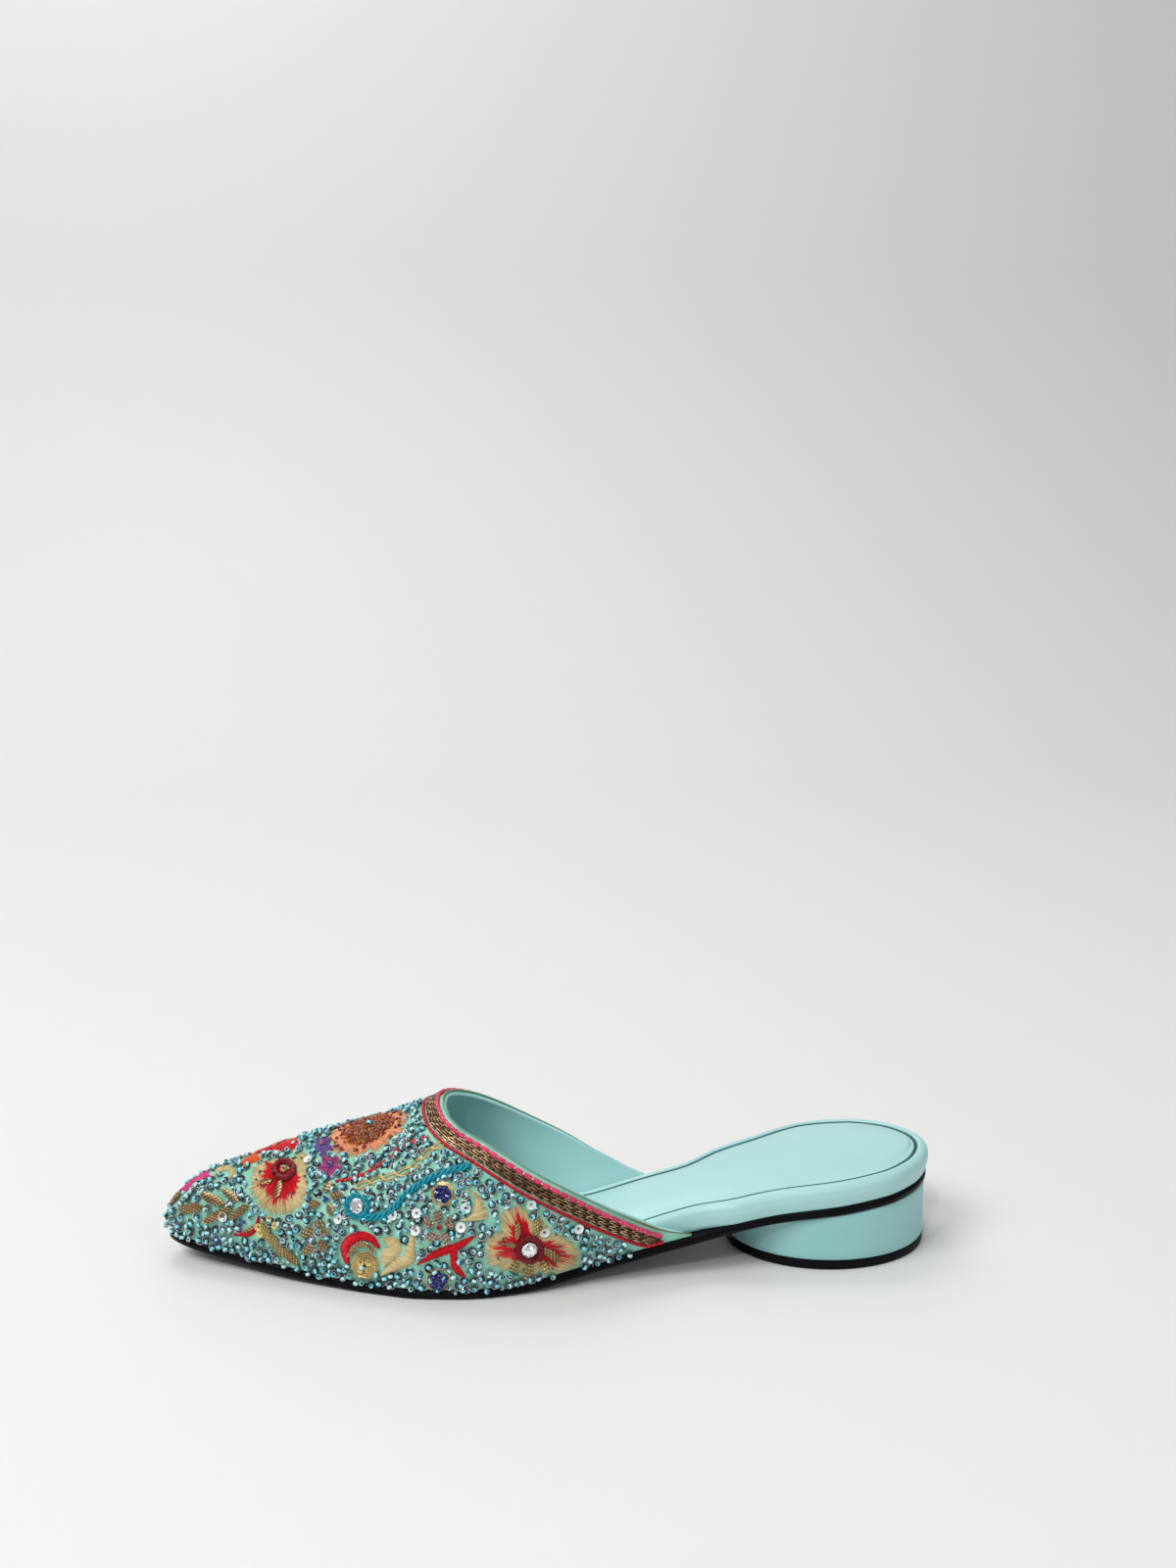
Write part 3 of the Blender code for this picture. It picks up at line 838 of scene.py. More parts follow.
def shell(name, outside, inside, material, rim=()):
    """A closed wall between two faces, with extra rim rows over its upper edge."""
    sections = np.concatenate([outside, *[row[:, None] for row in rim], inside[:, ::-1]], axis=1)
    ribs, count = sections.shape[:2]
    vertices = sections.reshape(-1, 3)
    faces = []
    for s in range(ribs - 1):
        for k in range(count):
            a, b = s * count + k, s * count + (k + 1) % count
            faces.append((a, b, b + count, a + count))
    last = (ribs - 1) * count
    for first, flip in ((0, True), (last, False)):
        for k in range(count // 2):
            a, b = first + k, first + k + 1
            c, d = first + count - 2 - k, first + count - 1 - k
            face = tuple(dict.fromkeys((a, b, c, d)))
            if len(face) > 2:
                faces.append(tuple(reversed(face)) if flip else face)
    return new_piece(name, vertices, faces, material, sharp=70)


def silk_material():
    """Slubbed mint silk: fine cross ribs, uneven dye and a soft sheen."""
    material = new_material("mint_silk", SILK_HIGH, 0.5, Sheen_Weight=0.08, Sheen_Roughness=0.3)
    place = object_place(material)
    share = between(material, noise(material, place, 130.0, 5.0), From_Min=0.3, From_Max=0.7)
    link(material, colour_between(material, share, SILK_LOW, SILK_HIGH), "Base Color")
    weave = add_node(material, "ShaderNodeTexWave", Vector=place, Scale=420.0, Distortion=1.5, Detail=2.0)
    slubs = noise(material, place, 260.0, 3.0)
    bump(material, add_up(material, weave.outputs["Fac"], slubs), 0.00012, 0.7)
    return material


silk_cover = shell(
    "silk_upper", outer_face, moved_face(SILK_THICK), silk_material()
)
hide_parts("upper")

lining_outside = moved_face(SILK_THICK + 0.00005)
lining_inside = moved_face(WALL)
topline_way = np.gradient(outer_face[:, -1], axis=0)
roll_up = unit(np.cross(topline_way, face_normals[:, -1]))
roll_up *= np.clip(rib_length / WING_TAPER, 0.1, 1.0)[:, None]
roll_middle = (lining_outside[:, -1] + lining_inside[:, -1]) / 2
roll_half = (lining_outside[:, -1] - lining_inside[:, -1]) / 2
lining_rim = []
for turn in np.linspace(0, np.pi, 9):
    bulge = 1 + 0.25 * math.sin(turn)
    lining_rim.append(
        roll_middle + roll_half * math.cos(turn) * bulge + roll_up * LINING_ROLL * (0.3 + math.sin(turn))
    )
lining_leather = leather_material("lining_leather", LEATHER_LOW, LEATHER_HIGH, 0.42)
upper_lining = shell(
    "leather_lining", lining_outside, lining_inside, lining_leather, rim=lining_rim
)
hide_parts("upper")

# The collar is edged with a hand-couched braid: rows of bronze and gold metal-thread chain on a
# dark ground, made near black to paint the shade between the links, with a red silk cord along its
# lower side and a pink one, tied with gold, along its upper. The chain's wire has painted highlights
# on top and painted shade below, and the cords have painted shade where their bindings pinch them.
# The silk's turned edge shows above it as a thin line, green in front and olive at the wings.
BRAID_END_STATION = 0.389
# Depths below the topline in metres; for the ground, each with its height above the silk
BRAID_LAYOUT = {"pink": 0.0017, "chain": (0.0030, 0.0039, 0.0048, 0.0057), "red": 0.0073}
GROUND_ACROSS = (
    (0.0023, 0.00004),
    (0.0028, 0.00022),
    (0.0044, 0.00030),
    (0.0059, 0.00022),
    (0.0063, 0.00004),
)
SEED = 38
GROUND_POINTS = 260
GROUND_ENDS = (0.004, 0.995)
CORD_POINTS = 600
PINK_CORD = 0.00085
RED_CORD = 0.00064
PINK_BINDING = 0.0034
RED_BINDING = 0.0022
CHAIN_STEP = 0.0023
LINK_LENGTH = 0.0031
LINK_WIDTH = 0.00084
LINK_WIRE = 0.00018
EDGE_RADIUS = 0.00036
EDGE_TURNS = 0.395
EDGE_FADE = 0.04
EDGE_GREEN = (0.20, 0.42, 0.27)
EDGE_OLIVE = (0.17, 0.20, 0.045)
BRONZE = (0.13, 0.055, 0.020)
PALE_GOLD = (0.92, 0.61, 0.35)
BRAID_GROUND_SHADE_DARK = (0.005, 0.003, 0.002)
BRAID_GROUND_SHADE_LIGHT = (0.016, 0.010, 0.006)
RED_SILK = (0.68, 0.004, 0.022)
PINK_SILK = (0.95, 0.055, 0.190)


class Heap:
    """Small parts gathered into one mesh, each with its own tint."""

    def __init__(self):
        self.points = []
        self.faces = []
        self.tints = []
        self.count = 0

    def add(self, points, faces, tint):
        points = np.asarray(points, float)
        self.points.append(points)
        self.faces += [tuple(int(k) + self.count for k in face) for face in faces]
        self.tints.append(np.broadcast_to(np.asarray(tint, float), (len(points), 3)))
        self.count += len(points)

    def piece(self, name, material, slot, sharp=40):
        tints = np.concatenate(self.tints)
        return new_piece(name, np.concatenate(self.points), self.faces, material, tints, sharp)


def tube_faces(rings, sides, closed=False):
    """Faces of a tube; an open tube has its two ends filled."""
    faces = []
    for r in range(rings if closed else rings - 1):
        for k in range(sides):
            after = (k + 1) % sides
            low, high = r * sides, ((r + 1) % rings) * sides
            faces.append((low + k, high + k, high + after, low + after))
    if not closed:
        faces.append(tuple(range(sides)))
        faces.append(tuple(range(rings * sides - 1, (rings - 1) * sides - 1, -1)))
    return faces


def tube(heap, path, normals, radius, tint, sides=6, closed=False):
    """A round thread along a path; radius and tint may change along it."""
    path = np.asarray(path, float)
    if closed:
        along = np.roll(path, -1, axis=0) - np.roll(path, 1, axis=0)
    else:
        along = np.gradient(path, axis=0)
    along /= np.linalg.norm(along, axis=1, keepdims=True) + 1e-12
    across = np.cross(along, normals)
    across /= np.linalg.norm(across, axis=1, keepdims=True) + 1e-12
    up = np.cross(across, along)
    radius = np.broadcast_to(radius, len(path))[:, None, None]
    turns = 2 * np.pi * np.arange(sides) / sides
    ring = across[:, None] * np.cos(turns)[None, :, None] + up[:, None] * np.sin(turns)[None, :, None]
    points = (path[:, None] + ring * radius).reshape(-1, 3)
    heap.add(points, tube_faces(len(path), sides, closed), tint)


def collar_line(depth, count, start=0.0, end=1.0):
    """Points and normals along the collar at a distance below the topline, evenly spaced."""
    shares = np.linspace(0, 1, 6 * len(outer_face))
    rows = np.arange(len(outer_face))
    place = shares * (len(outer_face) - 1)
    topline = resample(place, rows, outer_face[:, -1])
    points, normals = [], []
    for i in range(len(outer_face)):
        if station_at(outer_face[i, -1, 0]) < BRAID_END_STATION:
            continue
        path = outer_face[i, ::-1]
        away = np.linalg.norm(path[:, None] - topline[None], axis=2).min(axis=1)
        away = np.maximum.accumulate(away) + np.arange(len(away)) * 1e-9
        wanted = min(depth, away[-1] - 0.0010)
        points.append(resample(wanted, away, path))
        normals.append(resample(wanted, away, face_normals[i, ::-1]))
    return evenly(np.array(points), np.array(normals), count, start, end)


def evenly(points, normals, count, start=0.0, end=1.0):
    """Resamples a line to evenly spaced points, with unit normals."""
    lengths = run_lengths(points)
    wanted = lengths[-1] * np.linspace(start, end, count)
    return resample(wanted, lengths, points), unit(resample(wanted, lengths, normals))


def line_length(points):
    return float(np.linalg.norm(np.diff(points, axis=0), axis=1).sum())


def segmented_cord(heap, line, up, radius, segment, tint, lift=0.7, tuck=0.5):
    """A cord bound at even steps, so that it swells between its bindings."""
    count = max(2, round(line_length(line) / segment))
    steps = 9
    points, normals = evenly(line, up, count * steps + 1)
    for k in range(count):
        part = slice(k * steps, (k + 1) * steps + 1)
        swell = np.sin(np.linspace(0.06, 0.94, steps + 1) * np.pi) ** 0.5
        size = radius * (tuck + (1 - tuck) * swell)
        # The tint darkens towards each binding: painted shade where the cord is pinched. Each segment also
        # differs at random in tone.
        shade = (0.8 + 0.4 * random.random()) * np.repeat(0.25 + 0.75 * swell, 8)
        path = points[part] + normals[part] * radius * lift
        tube(heap, path, normals[part], size, np.array(tint) * shade[:, None], sides=8)


def chain_link(heap, middle, along, up, tint, lean=0.0003):
    """One long flattened loop of metal wire, lying on the surface and slightly tipped."""
    across = np.cross(up, along)
    turns = 2 * np.pi * np.arange(16) / 16
    reach = (np.sign(np.cos(turns)) * np.abs(np.cos(turns)) ** 0.8)[:, None]
    path = middle + along * reach * LINK_LENGTH / 2 + across * np.sin(turns)[:, None] * LINK_WIDTH / 2
    path = path + up * (LINK_WIRE + lean * reach)
    # Painted highlight and shade: the wire is pale on its upper side and along the loop's long sides, dark
    # underneath and at the round ends where the links tuck under.
    painted_highlight_and_shade = np.outer(0.3 + 0.9 * np.abs(np.sin(turns)), (0.25, 1.0, 1.0, 0.25, 0.05, 0.05))
    tint = np.array(BRONZE) * 0.3 + painted_highlight_and_shade.reshape(-1, 1) * np.asarray(tint)
    tube(heap, path, np.broadcast_to(up, path.shape), LINK_WIRE, tint, sides=6, closed=True)


def thread_material(name, roughness, metallic=0.0, shade=0.62, **values):
    """Thread, wire or glass whose colour is each part's own tint, with painted shade and highlights in some
    of the tints.
    """
    material = new_material(name, (0.8, 0.8, 0.8), roughness, Metallic=metallic, **values)
    attribute = add_node(material, "ShaderNodeAttribute")
    attribute.attribute_name = "tint"
    fibre = noise(material, object_place(material), 1500.0, 2.0)
    dark = colour_between(material, fibre, attribute.outputs["Color"], (shade, shade, shade), "MULTIPLY")
    link(material, dark, "Base Color")
    bump(material, fibre, 0.00006, 0.5)
    return material


random = np.random.default_rng(SEED)
silk_thread = thread_material("silk_thread", 0.45, Specular_IOR_Level=0.35)
metal_thread = thread_material("metal_thread", 0.30, 0.6)
braid_cords = Heap()
braid_chain = Heap()
# The ground under the chain is made near black: painted shade between the links.
ground_lines = [collar_line(depth, GROUND_POINTS, *GROUND_ENDS) for depth, lift in GROUND_ACROSS]
ground_over = [line + up * row[1] for (line, up), row in zip(ground_lines, GROUND_ACROSS)]
ground_under = [line - up * 0.0001 for line, up in reversed(ground_lines)]
ground_loop = np.stack([*ground_over, *ground_under], axis=1)
ground_faces = tube_faces(len(ground_loop), ground_loop.shape[1])
braid_ground_shade = new_piece(
    "braid_ground_shade",
    ground_loop.reshape(-1, 3),
    [tuple(reversed(face)) for face in ground_faces],
    fine_mottle("braid_ground_shade", BRAID_GROUND_SHADE_DARK, BRAID_GROUND_SHADE_LIGHT, 0.7, 1700.0),
)

pink_line, pink_up = collar_line(BRAID_LAYOUT["pink"], CORD_POINTS)
segmented_cord(braid_cords, pink_line, pink_up, PINK_CORD, PINK_BINDING, PINK_SILK, tuck=0.15)
red_line, red_up = collar_line(BRAID_LAYOUT["red"], CORD_POINTS)
segmented_cord(braid_cords, red_line, red_up, RED_CORD, RED_BINDING, RED_SILK, tuck=0.40)
for row, depth in enumerate(BRAID_LAYOUT["chain"]):
    line, up = collar_line(depth, CORD_POINTS)
    count = int(line_length(line) / CHAIN_STEP)
    middles, normals = evenly(line, up, count, 0.008 + 0.0045 * (row % 2), 0.992)
    for k in range(1, count - 1):
        along = middles[k + 1] - middles[k - 1]
        along /= np.linalg.norm(along)
        along = along + np.cross(normals[k], along) * random.normal(0, 0.12)
        along /= np.linalg.norm(along)
        share = random.uniform(0.5, 1.3) * (1.0, 0.1)[(k + row) % 2]
        tint = np.array(BRONZE) * (1 - share) + np.array(PALE_GOLD) * share
        middle = middles[k] + normals[k] * (0.00032 + 0.00015 * random.random())
        chain_link(braid_chain, middle, along, normals[k], tint)
joint_count = round(line_length(pink_line) / PINK_BINDING)
joints, joint_up = evenly(pink_line, pink_up, joint_count + 1)
for k in range(1, joint_count):
    along = joints[k + 1] - joints[k - 1]
    along /= np.linalg.norm(along)
    tie = joints[k] + along * np.array([[-0.0004], [0.0], [0.0004]]) + joint_up[k] * 0.0009
    tube(braid_chain, tie, np.broadcast_to(joint_up[k], (3, 3)), (0.0002, 0.00042, 0.0002), PALE_GOLD, 6)
edge_share = np.clip((station_at(outer_face[:, -1, 0]) - EDGE_TURNS) / EDGE_FADE, 0, 1)[:, None]
edge_tint = np.array(EDGE_OLIVE) * (1 - edge_share) + np.array(EDGE_GREEN) * edge_share
edge_line = outer_face[:, -1] + unit(roll_up) * 0.0003 - face_normals[:, -1] * 0.0001
edge_size = EDGE_RADIUS * np.clip(rib_length / WING_TAPER, 0.4, 1.0)
edge_tint = np.repeat(edge_tint, 6, axis=0)
tube(braid_cords, edge_line, face_normals[:, -1], edge_size, edge_tint, sides=6)
silk_braid = braid_cords.piece("braid_silk_cords", silk_thread, "braid")
chain_braid = braid_chain.piece("braid_metal_chain", metal_thread, "braid")
for braid_piece in (braid_ground_shade, silk_braid, chain_braid):
    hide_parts("collar_braid")

# Flowers and leaves are satin-stitched by hand in silk floss, straight stitches laid side by side
# and padded underneath. Their places were read off the photo, so a motif is drawn in its pixels
# and thrown onto the silk from the camera, or from the mirrored one for the inner side.
PHOTO_FOCAL = 1598.7
PHOTO_MIDDLE = (600.0, 800.0)
PHOTO_PITCH = 0.157
NEAR_EYE = (-0.1444, -0.52865, 0.2522)
NEAR_SWING = 0.109
FAR_EYE = (-0.06876, 0.65283, 0.2522)
FAR_SWING = -0.050
LINE_POINTS = 40
FLOSS = 0.00017
CRIMSON = (0.78, 0.008, 0.022)
DEEP_RED = (0.50, 0.004, 0.012)
WINE = (0.22, 0.001, 0.006)
CREAM_GOLD = (0.78, 0.64, 0.33)
ORANGE = (0.88, 0.16, 0.03)
BURNT_ORANGE = (0.85, 0.22, 0.05)
PEACH = (0.94, 0.42, 0.22)
PINK = (0.90, 0.06, 0.28)
VIOLET = (0.16, 0.08, 0.34)
MAGENTA = (0.42, 0.05, 0.22)

rows, columns = outer_face.shape[:2]
face_list = [
    (i * columns + k, i * columns + k + 1, (i + 1) * columns + k + 1, (i + 1) * columns + k)
    for i in range(rows - 1)
    for k in range(columns - 1)
]
silk_face = BVHTree.FromPolygons(outer_face.reshape(-1, 3).tolist(), face_list)
# Every point that carries stitching; the beads keep off them
taken = []


def from_eye(eye, swing, mirrored):
    """Lays photo pixels on the silk, seen from one place: points and normals."""
    eye = Vector(eye)
    low, high = math.sin(PHOTO_PITCH), math.cos(PHOTO_PITCH)

    def lay(path):
        path = np.atleast_2d(np.asarray(path, float))
        right = (path[:, 0] - PHOTO_MIDDLE[0]) / PHOTO_FOCAL
        up = (PHOTO_MIDDLE[1] - path[:, 1]) / PHOTO_FOCAL
        ahead, rise = high + low * up, high * up - low
        x = right * math.cos(swing) + ahead * math.sin(swing)
        y = ahead * math.cos(swing) - right * math.sin(swing)
        y = -y if mirrored else y
        points, normals = [], []
        for ray in zip(x, y, rise):
            ray = Vector(ray).normalized()
            hit, normal = silk_face.ray_cast(eye, ray)[:2]
            if hit is None:
                middle = Vector((eye.x, 0.01, 0.03))
                nearest = eye + ray * (middle - eye).dot(ray)
                nearest += ray * (nearest.y - 0.01) / -ray.y
                hit, normal = silk_face.find_nearest(nearest)[:2]
            points.append(hit[:])
            normals.append(normal[:])
        return np.array(points), np.array(normals)

    return lay


near = from_eye(NEAR_EYE, NEAR_SWING, False)
far = from_eye(FAR_EYE, FAR_SWING, True)


def patch(view, pixel, scale=0.001):
    """A flat frame on the silk at a pixel, in millimetres: first along the shoe, then across."""
    place, normal = (Vector(value[0]) for value in view(pixel))
    along = Vector((1, 0, 0))
    along = (along - normal * along.dot(normal)).normalized()
    across = normal.cross(along)

    def lay(path):
        points, normals = [], []
        for u, v in np.atleast_2d(np.asarray(path, float)) * scale:
            hit, facing = silk_face.find_nearest(place + along * u + across * v)[:2]
            points.append(hit[:])
            normals.append(facing[:])
        return np.array(points), np.array(normals)

    return lay


def at_spot(view, spot):
    """The one point, and its normal, where a pixel or a place in a patch meets the silk."""
    points, normals = view(spot)
    return points[0], normals[0]


def toward(turn):
    return np.array([math.cos(turn), math.sin(turn)])


def flow(points, count):
    """A smooth line through flat points."""
    points = np.asarray(points, float)
    lengths = run_lengths(points)
    wanted = np.linspace(0, lengths[-1], count)
    return np.stack([smooth_curve(lengths, points[:, axis])(wanted) for axis in range(2)], axis=1)


def shaded(tint, spread=0.22):
    return np.array(tint) * (1 + spread * (2 * random.random() - 1))


def stitch(heap, lay, start, end, tint, radius=FLOSS, lift=0.00012, pad=0.0003, points=5, sides=4):
    """One straight stitch that arches over its padding."""
    shares = np.linspace(0, 1, points)
    start, end = np.asarray(start, float), np.asarray(end, float)
    line, up = lay(start + (end - start) * shares[:, None])
    rise = lift + pad * np.sin(np.pi * shares) ** 0.7
    taken.extend(line.tolist())
    tube(heap, line + up * rise[:, None], up, radius, shaded(tint), sides=sides)


def satin(heap, lay, edge, other, tint, pad=0.0005, pitch=0.00030, radius=FLOSS):
    """Stitches side by side from one edge to the other."""
    edge, other = flow(edge, LINE_POINTS), flow(other, LINE_POINTS)
    middle = lay((edge + other) / 2)[0]
    count = max(4, int(line_length(middle) / pitch))
    for place in np.linspace(0, LINE_POINTS - 1, count):
        start, end = (resample(place, range(LINE_POINTS), line) for line in (edge, other))
        wobble = 1 + 0.05 * random.standard_normal()
        stitch(heap, lay, start, start + (end - start) * wobble, tint, radius, pad=pad)


def spine_edges(spine, widths, slant=0.0):
    """Two edges beside a line; the far one runs ahead by the slant."""
    line = flow(spine, LINE_POINTS)
    along = unit(np.gradient(line, axis=0))
    across = np.stack([-along[:, 1], along[:, 0]], axis=1)
    half = smooth_curve(np.linspace(0, 1, len(widths)), widths)(np.linspace(0, 1, LINE_POINTS))[:, None] / 2
    shift = across * half + along * half * slant
    return line - shift, line + shift


def burst(heap, lay, centre, rays, column, tint, share_in, count, spread=(0.78, 1.04), pad=0.0002):
    """Stitches that spread from a centre; the table gives each direction's reach."""
    turns = [math.radians(row[0]) for row in rays]
    reaches = [row[column] for row in rays]
    reach = smooth_curve([*turns, turns[0] + 2 * math.pi], [*reaches, reaches[0]])
    centre = np.array(centre, float)
    for k in range(count):
        turn = turns[0] + 2 * math.pi * (k + random.random()) / count
        way = toward(turn)
        length = float(reach(turn)) * random.uniform(*spread)
        stitch(heap, lay, centre + way * length * share_in, centre + way * length, tint, pad=pad)


silk_heap = Heap()
COIL_FLOWER = (289.0, 1200.0)
# Direction in degrees clockwise from the right, reach of the gold floss, reach of the red floss
COIL_FLOWER_RAYS = (
    (0, 24, 20), (22, 27, 21), (50, 33, 24), (80, 40, 32), (100, 41, 36), (122, 42, 37),
    (140, 38, 30), (155, 38, 32), (172, 33, 27), (190, 33, 24), (212, 27, 25), (240, 20, 14),
    (270, 14, 8), (300, 24, 8), (318, 34, 10), (340, 27, 14),
)
CRYSTAL_FLOWER = (539.7, 1273.7)
CRYSTAL_FLOWER_RAYS = (
    (5, 52, 47), (20, 53, 48), (38, 42, 36), (60, 26, 14), (82, 27, 8), (100, 27, 8),
    (122, 27, 12), (150, 40, 26), (172, 46, 40), (190, 45, 38), (212, 34, 28), (238, 46, 44),
    (258, 46, 41), (275, 30, 18), (295, 32, 10), (325, 28, 12), (345, 40, 34),
)
BIG_FLOWERS = ((COIL_FLOWER, COIL_FLOWER_RAYS, 330), (CRYSTAL_FLOWER, CRYSTAL_FLOWER_RAYS, 420))
for centre, rays, many in BIG_FLOWERS:
    burst(silk_heap, near, centre, rays, 1, CREAM_GOLD, 0.50, many, (0.86, 1.03))
    burst(silk_heap, near, centre, rays, 2, CRIMSON, 0.22, int(many * 0.7), (0.62, 1.08), 0.00045)
    burst(silk_heap, near, centre, rays, 2, DEEP_RED, 0.22, int(many * 0.25), (0.45, 0.8), 0.00055)

# The other big flower is on the ridge, its red centre ringed by orange petals with gold veins
RIDGE_PIXEL = (372.0, 1077.0)
RIDGE_PETALS = 9
ridge_flower = patch(far, RIDGE_PIXEL)
for k in range(RIDGE_PETALS):
    way = toward(2 * math.pi * (k + 0.3) / RIDGE_PETALS)
    tip = way * (13.5 if k % 2 else 12.0)
    edge, other = spine_edges([way * 6.0, tip], (3.2, 4.4, 3.0, 0.5))
    satin(silk_heap, ridge_flower, edge, other, ORANGE if k % 2 else BURNT_ORANGE, pad=0.0004)
    for side in (-0.9, 0.0, 0.9):
        across = np.array([-way[1], way[0]]) * side
        vein = way * 6.4 + across * 0.6, tip * 0.86 + across * 0.4
        stitch(silk_heap, ridge_flower, *vein, CREAM_GOLD, lift=0.0008, pad=0.0)
for ring, (reach, tint) in enumerate(((7.2, CRIMSON), (5.2, DEEP_RED), (3.4, CRIMSON))):
    many = int(reach * 11)
    for k in range(many):
        turn = 2 * math.pi * k / many
        way = toward(turn)
        tip = way * reach * (1 + 0.10 * math.cos(6 * turn + ring))
        lift = 0.0003 + 0.0003 * ring
        stitch(silk_heap, ridge_flower, way * (reach - 2.4), tip, tint, lift=lift, pad=0.0005)

# The peach flower lies across the ridge under the throat; its petals are scalloped
PEACH_PIXEL = (376.0, 1152.0)
PEACH_REACH = (15.0, 16.5)
PEACH_SCALLOPS = 10
peach_flower = patch(near, PEACH_PIXEL)
for k in range(PEACH_SCALLOPS):
    for step in np.linspace(-1, 1, 34):
        way = toward((2 * k + step) * math.pi / PEACH_SCALLOPS) * PEACH_REACH
        reach = (0.84 + 0.16 * math.sqrt(max(0, 1 - step * step))) * random.uniform(0.82, 1.04)
        stitch(silk_heap, peach_flower, way * 0.50, way * reach, PEACH, pad=0.0004)

# Satin shapes: the two edges' spine, its widths in pixels, colour, and the slant of the stitches
NEAR_LEAVES = (
    (((426, 1290), (447.8, 1279), (466, 1271.5), (487, 1259.4)), (0.6, 6.2, 9.0, 6.0, 0.4), CRIMSON, 1.2),
    (((463, 1276), (463.5, 1289), (474.6, 1302.5)), (7.5, 7.0, 7.0, 0.5), CRIMSON, 0.9),
    (((354.5, 1288), (352.5, 1274), (359, 1264.5), (368.5, 1261), (379, 1264), (387, 1273)),
     (5.0, 9.0, 10.0, 9.0, 7.5, 3.0), CRIMSON, 0.4),
    (((264.5, 1241), (261.5, 1252), (254, 1259), (240, 1259.5)), (1.2, 4.2, 5.0, 1.6), CRIMSON, 0.3),
    (((446.5, 1115.5), (449, 1111), (454, 1108), (460, 1108.5)), (2.0, 5.5, 5.0, 1.0), CRIMSON, 0.3),
    (((219, 1201), (224, 1194.5), (232, 1192.6), (238, 1196.5), (235, 1204)), (1.5, 4.0, 5.0, 5.5, 1.5),
     CREAM_GOLD, 0.5),
    (((391, 1264), (396, 1266.5), (401, 1272), (398, 1280), (392, 1291)), (2, 13, 18, 15, 4),
     CREAM_GOLD, 0.3),
    (((421.5, 1258.5), (419, 1271), (417, 1283), (405, 1291), (389.5, 1301)), (4, 9, 13, 10, 0.6),
     CREAM_GOLD, 0.5),
    (((264, 1176), (275, 1170), (288, 1168), (304, 1166)), (6, 14, 14, 5), CRIMSON, 0.7),
    (((247, 1188), (255, 1184), (264, 1181)), (3, 8, 6), ORANGE, 0.3),
)
FAR_LEAVES = (
    (((355.5, 1102), (351.5, 1112), (351.5, 1122), (358, 1132), (369.5, 1136.5), (384, 1129.5)),
     (2.5, 8, 10, 11, 9, 1.5), CREAM_GOLD, 0.4),
    (((313, 1110.5), (313.5, 1119), (318, 1128)), (2, 6, 2.5), CRIMSON, 0.4),
    (((295.5, 1092), (289.5, 1100), (283.5, 1110)), (3, 7, 2.5), WINE, 0.4),
    (((521, 1081), (521.5, 1092), (523, 1101)), (0.6, 5, 9), CREAM_GOLD, 0.3),
    (((502, 1103.5), (514, 1101), (523, 1101.5), (536, 1107)), (1.5, 7, 9, 2.5), CREAM_GOLD, 0.4),
    (((427, 1132), (447.8, 1127), (466, 1118), (484, 1108)), (0.6, 5.2, 7.2, 5.0, 0.4), CRIMSON, 1.2),
    (((463, 1122), (463.5, 1133), (474.6, 1146)), (5.5, 6.0, 6.5, 0.5), CRIMSON, 0.9),
)
for view, leaves in ((near, NEAR_LEAVES), (far, FAR_LEAVES)):
    for spine, widths, tint, slant in leaves:
        edge, other = spine_edges(spine, widths, slant)
        satin(silk_heap, view, edge, other, tint, 0.0007)
        satin(silk_heap, view, other, edge, np.array(tint) * 0.9, 0.0005, 0.00055)

HORN_EDGES = (
    ((477.5, 1212.5), (484.2, 1226), (482, 1238), (469.8, 1246)),
    ((477.5, 1212.5), (490, 1222), (495.7, 1235.5), (499.5, 1243)),
)
satin(silk_heap, near, *HORN_EDGES, CREAM_GOLD, 0.0009)

# The inner side's crystal flower is a shorter one, of which the photo shows the upper edge
INNER_CRYSTAL = (553.0, 1122.0)
inner_flower = (silk_heap, far, INNER_CRYSTAL, CRYSTAL_FLOWER_RAYS)
burst(*inner_flower, 1, CREAM_GOLD, 0.50, 220, (0.55, 0.74))
burst(*inner_flower, 2, CRIMSON, 0.22, 190, (0.40, 0.66), 0.0005)

# A patch of pink knots sits on the ridge near the toe
KNOT_LINE = ((184.5, 1212), (193, 1204), (204, 1198.5), (212, 1196))
KNOTS = 230
knot_line = flow(KNOT_LINE, 30)
for k in range(KNOTS):
    share, side = random.random(), random.uniform(-0.6, 1)
    spot = knot_line[int(share * 29)] + np.array([0.5, 0.8]) * side * 7.5
    half = toward(random.uniform(0, 2 * math.pi)) * 1.2
    line, ups = near([spot - half, spot, spot + half])
    taken.extend(line.tolist())
    tube(silk_heap, line + ups * np.array([[0.0001], [0.0006], [0.0001]]), ups, 0.00032, shaded(PINK), 5)
silk_heap.piece("satin_stitches", silk_thread, "upper_fabric")

# Leaves, fans and rings of metal thread: tight coils of gilt and bronzed wire, cut to length,
# threaded on a needle and sewn down side by side.
BRONZED = (0.74, 0.47, 0.22)
GILT = (0.88, 0.64, 0.28)
FADED_GOLD = (0.90, 0.62, 0.42)
SILVER = (0.75, 0.72, 0.68)
ORANGE_WIRE = (0.85, 0.26, 0.03)
RUST_WIRE = (0.45, 0.07, 0.015)
COIL = 0.00027
metal_heap = Heap()


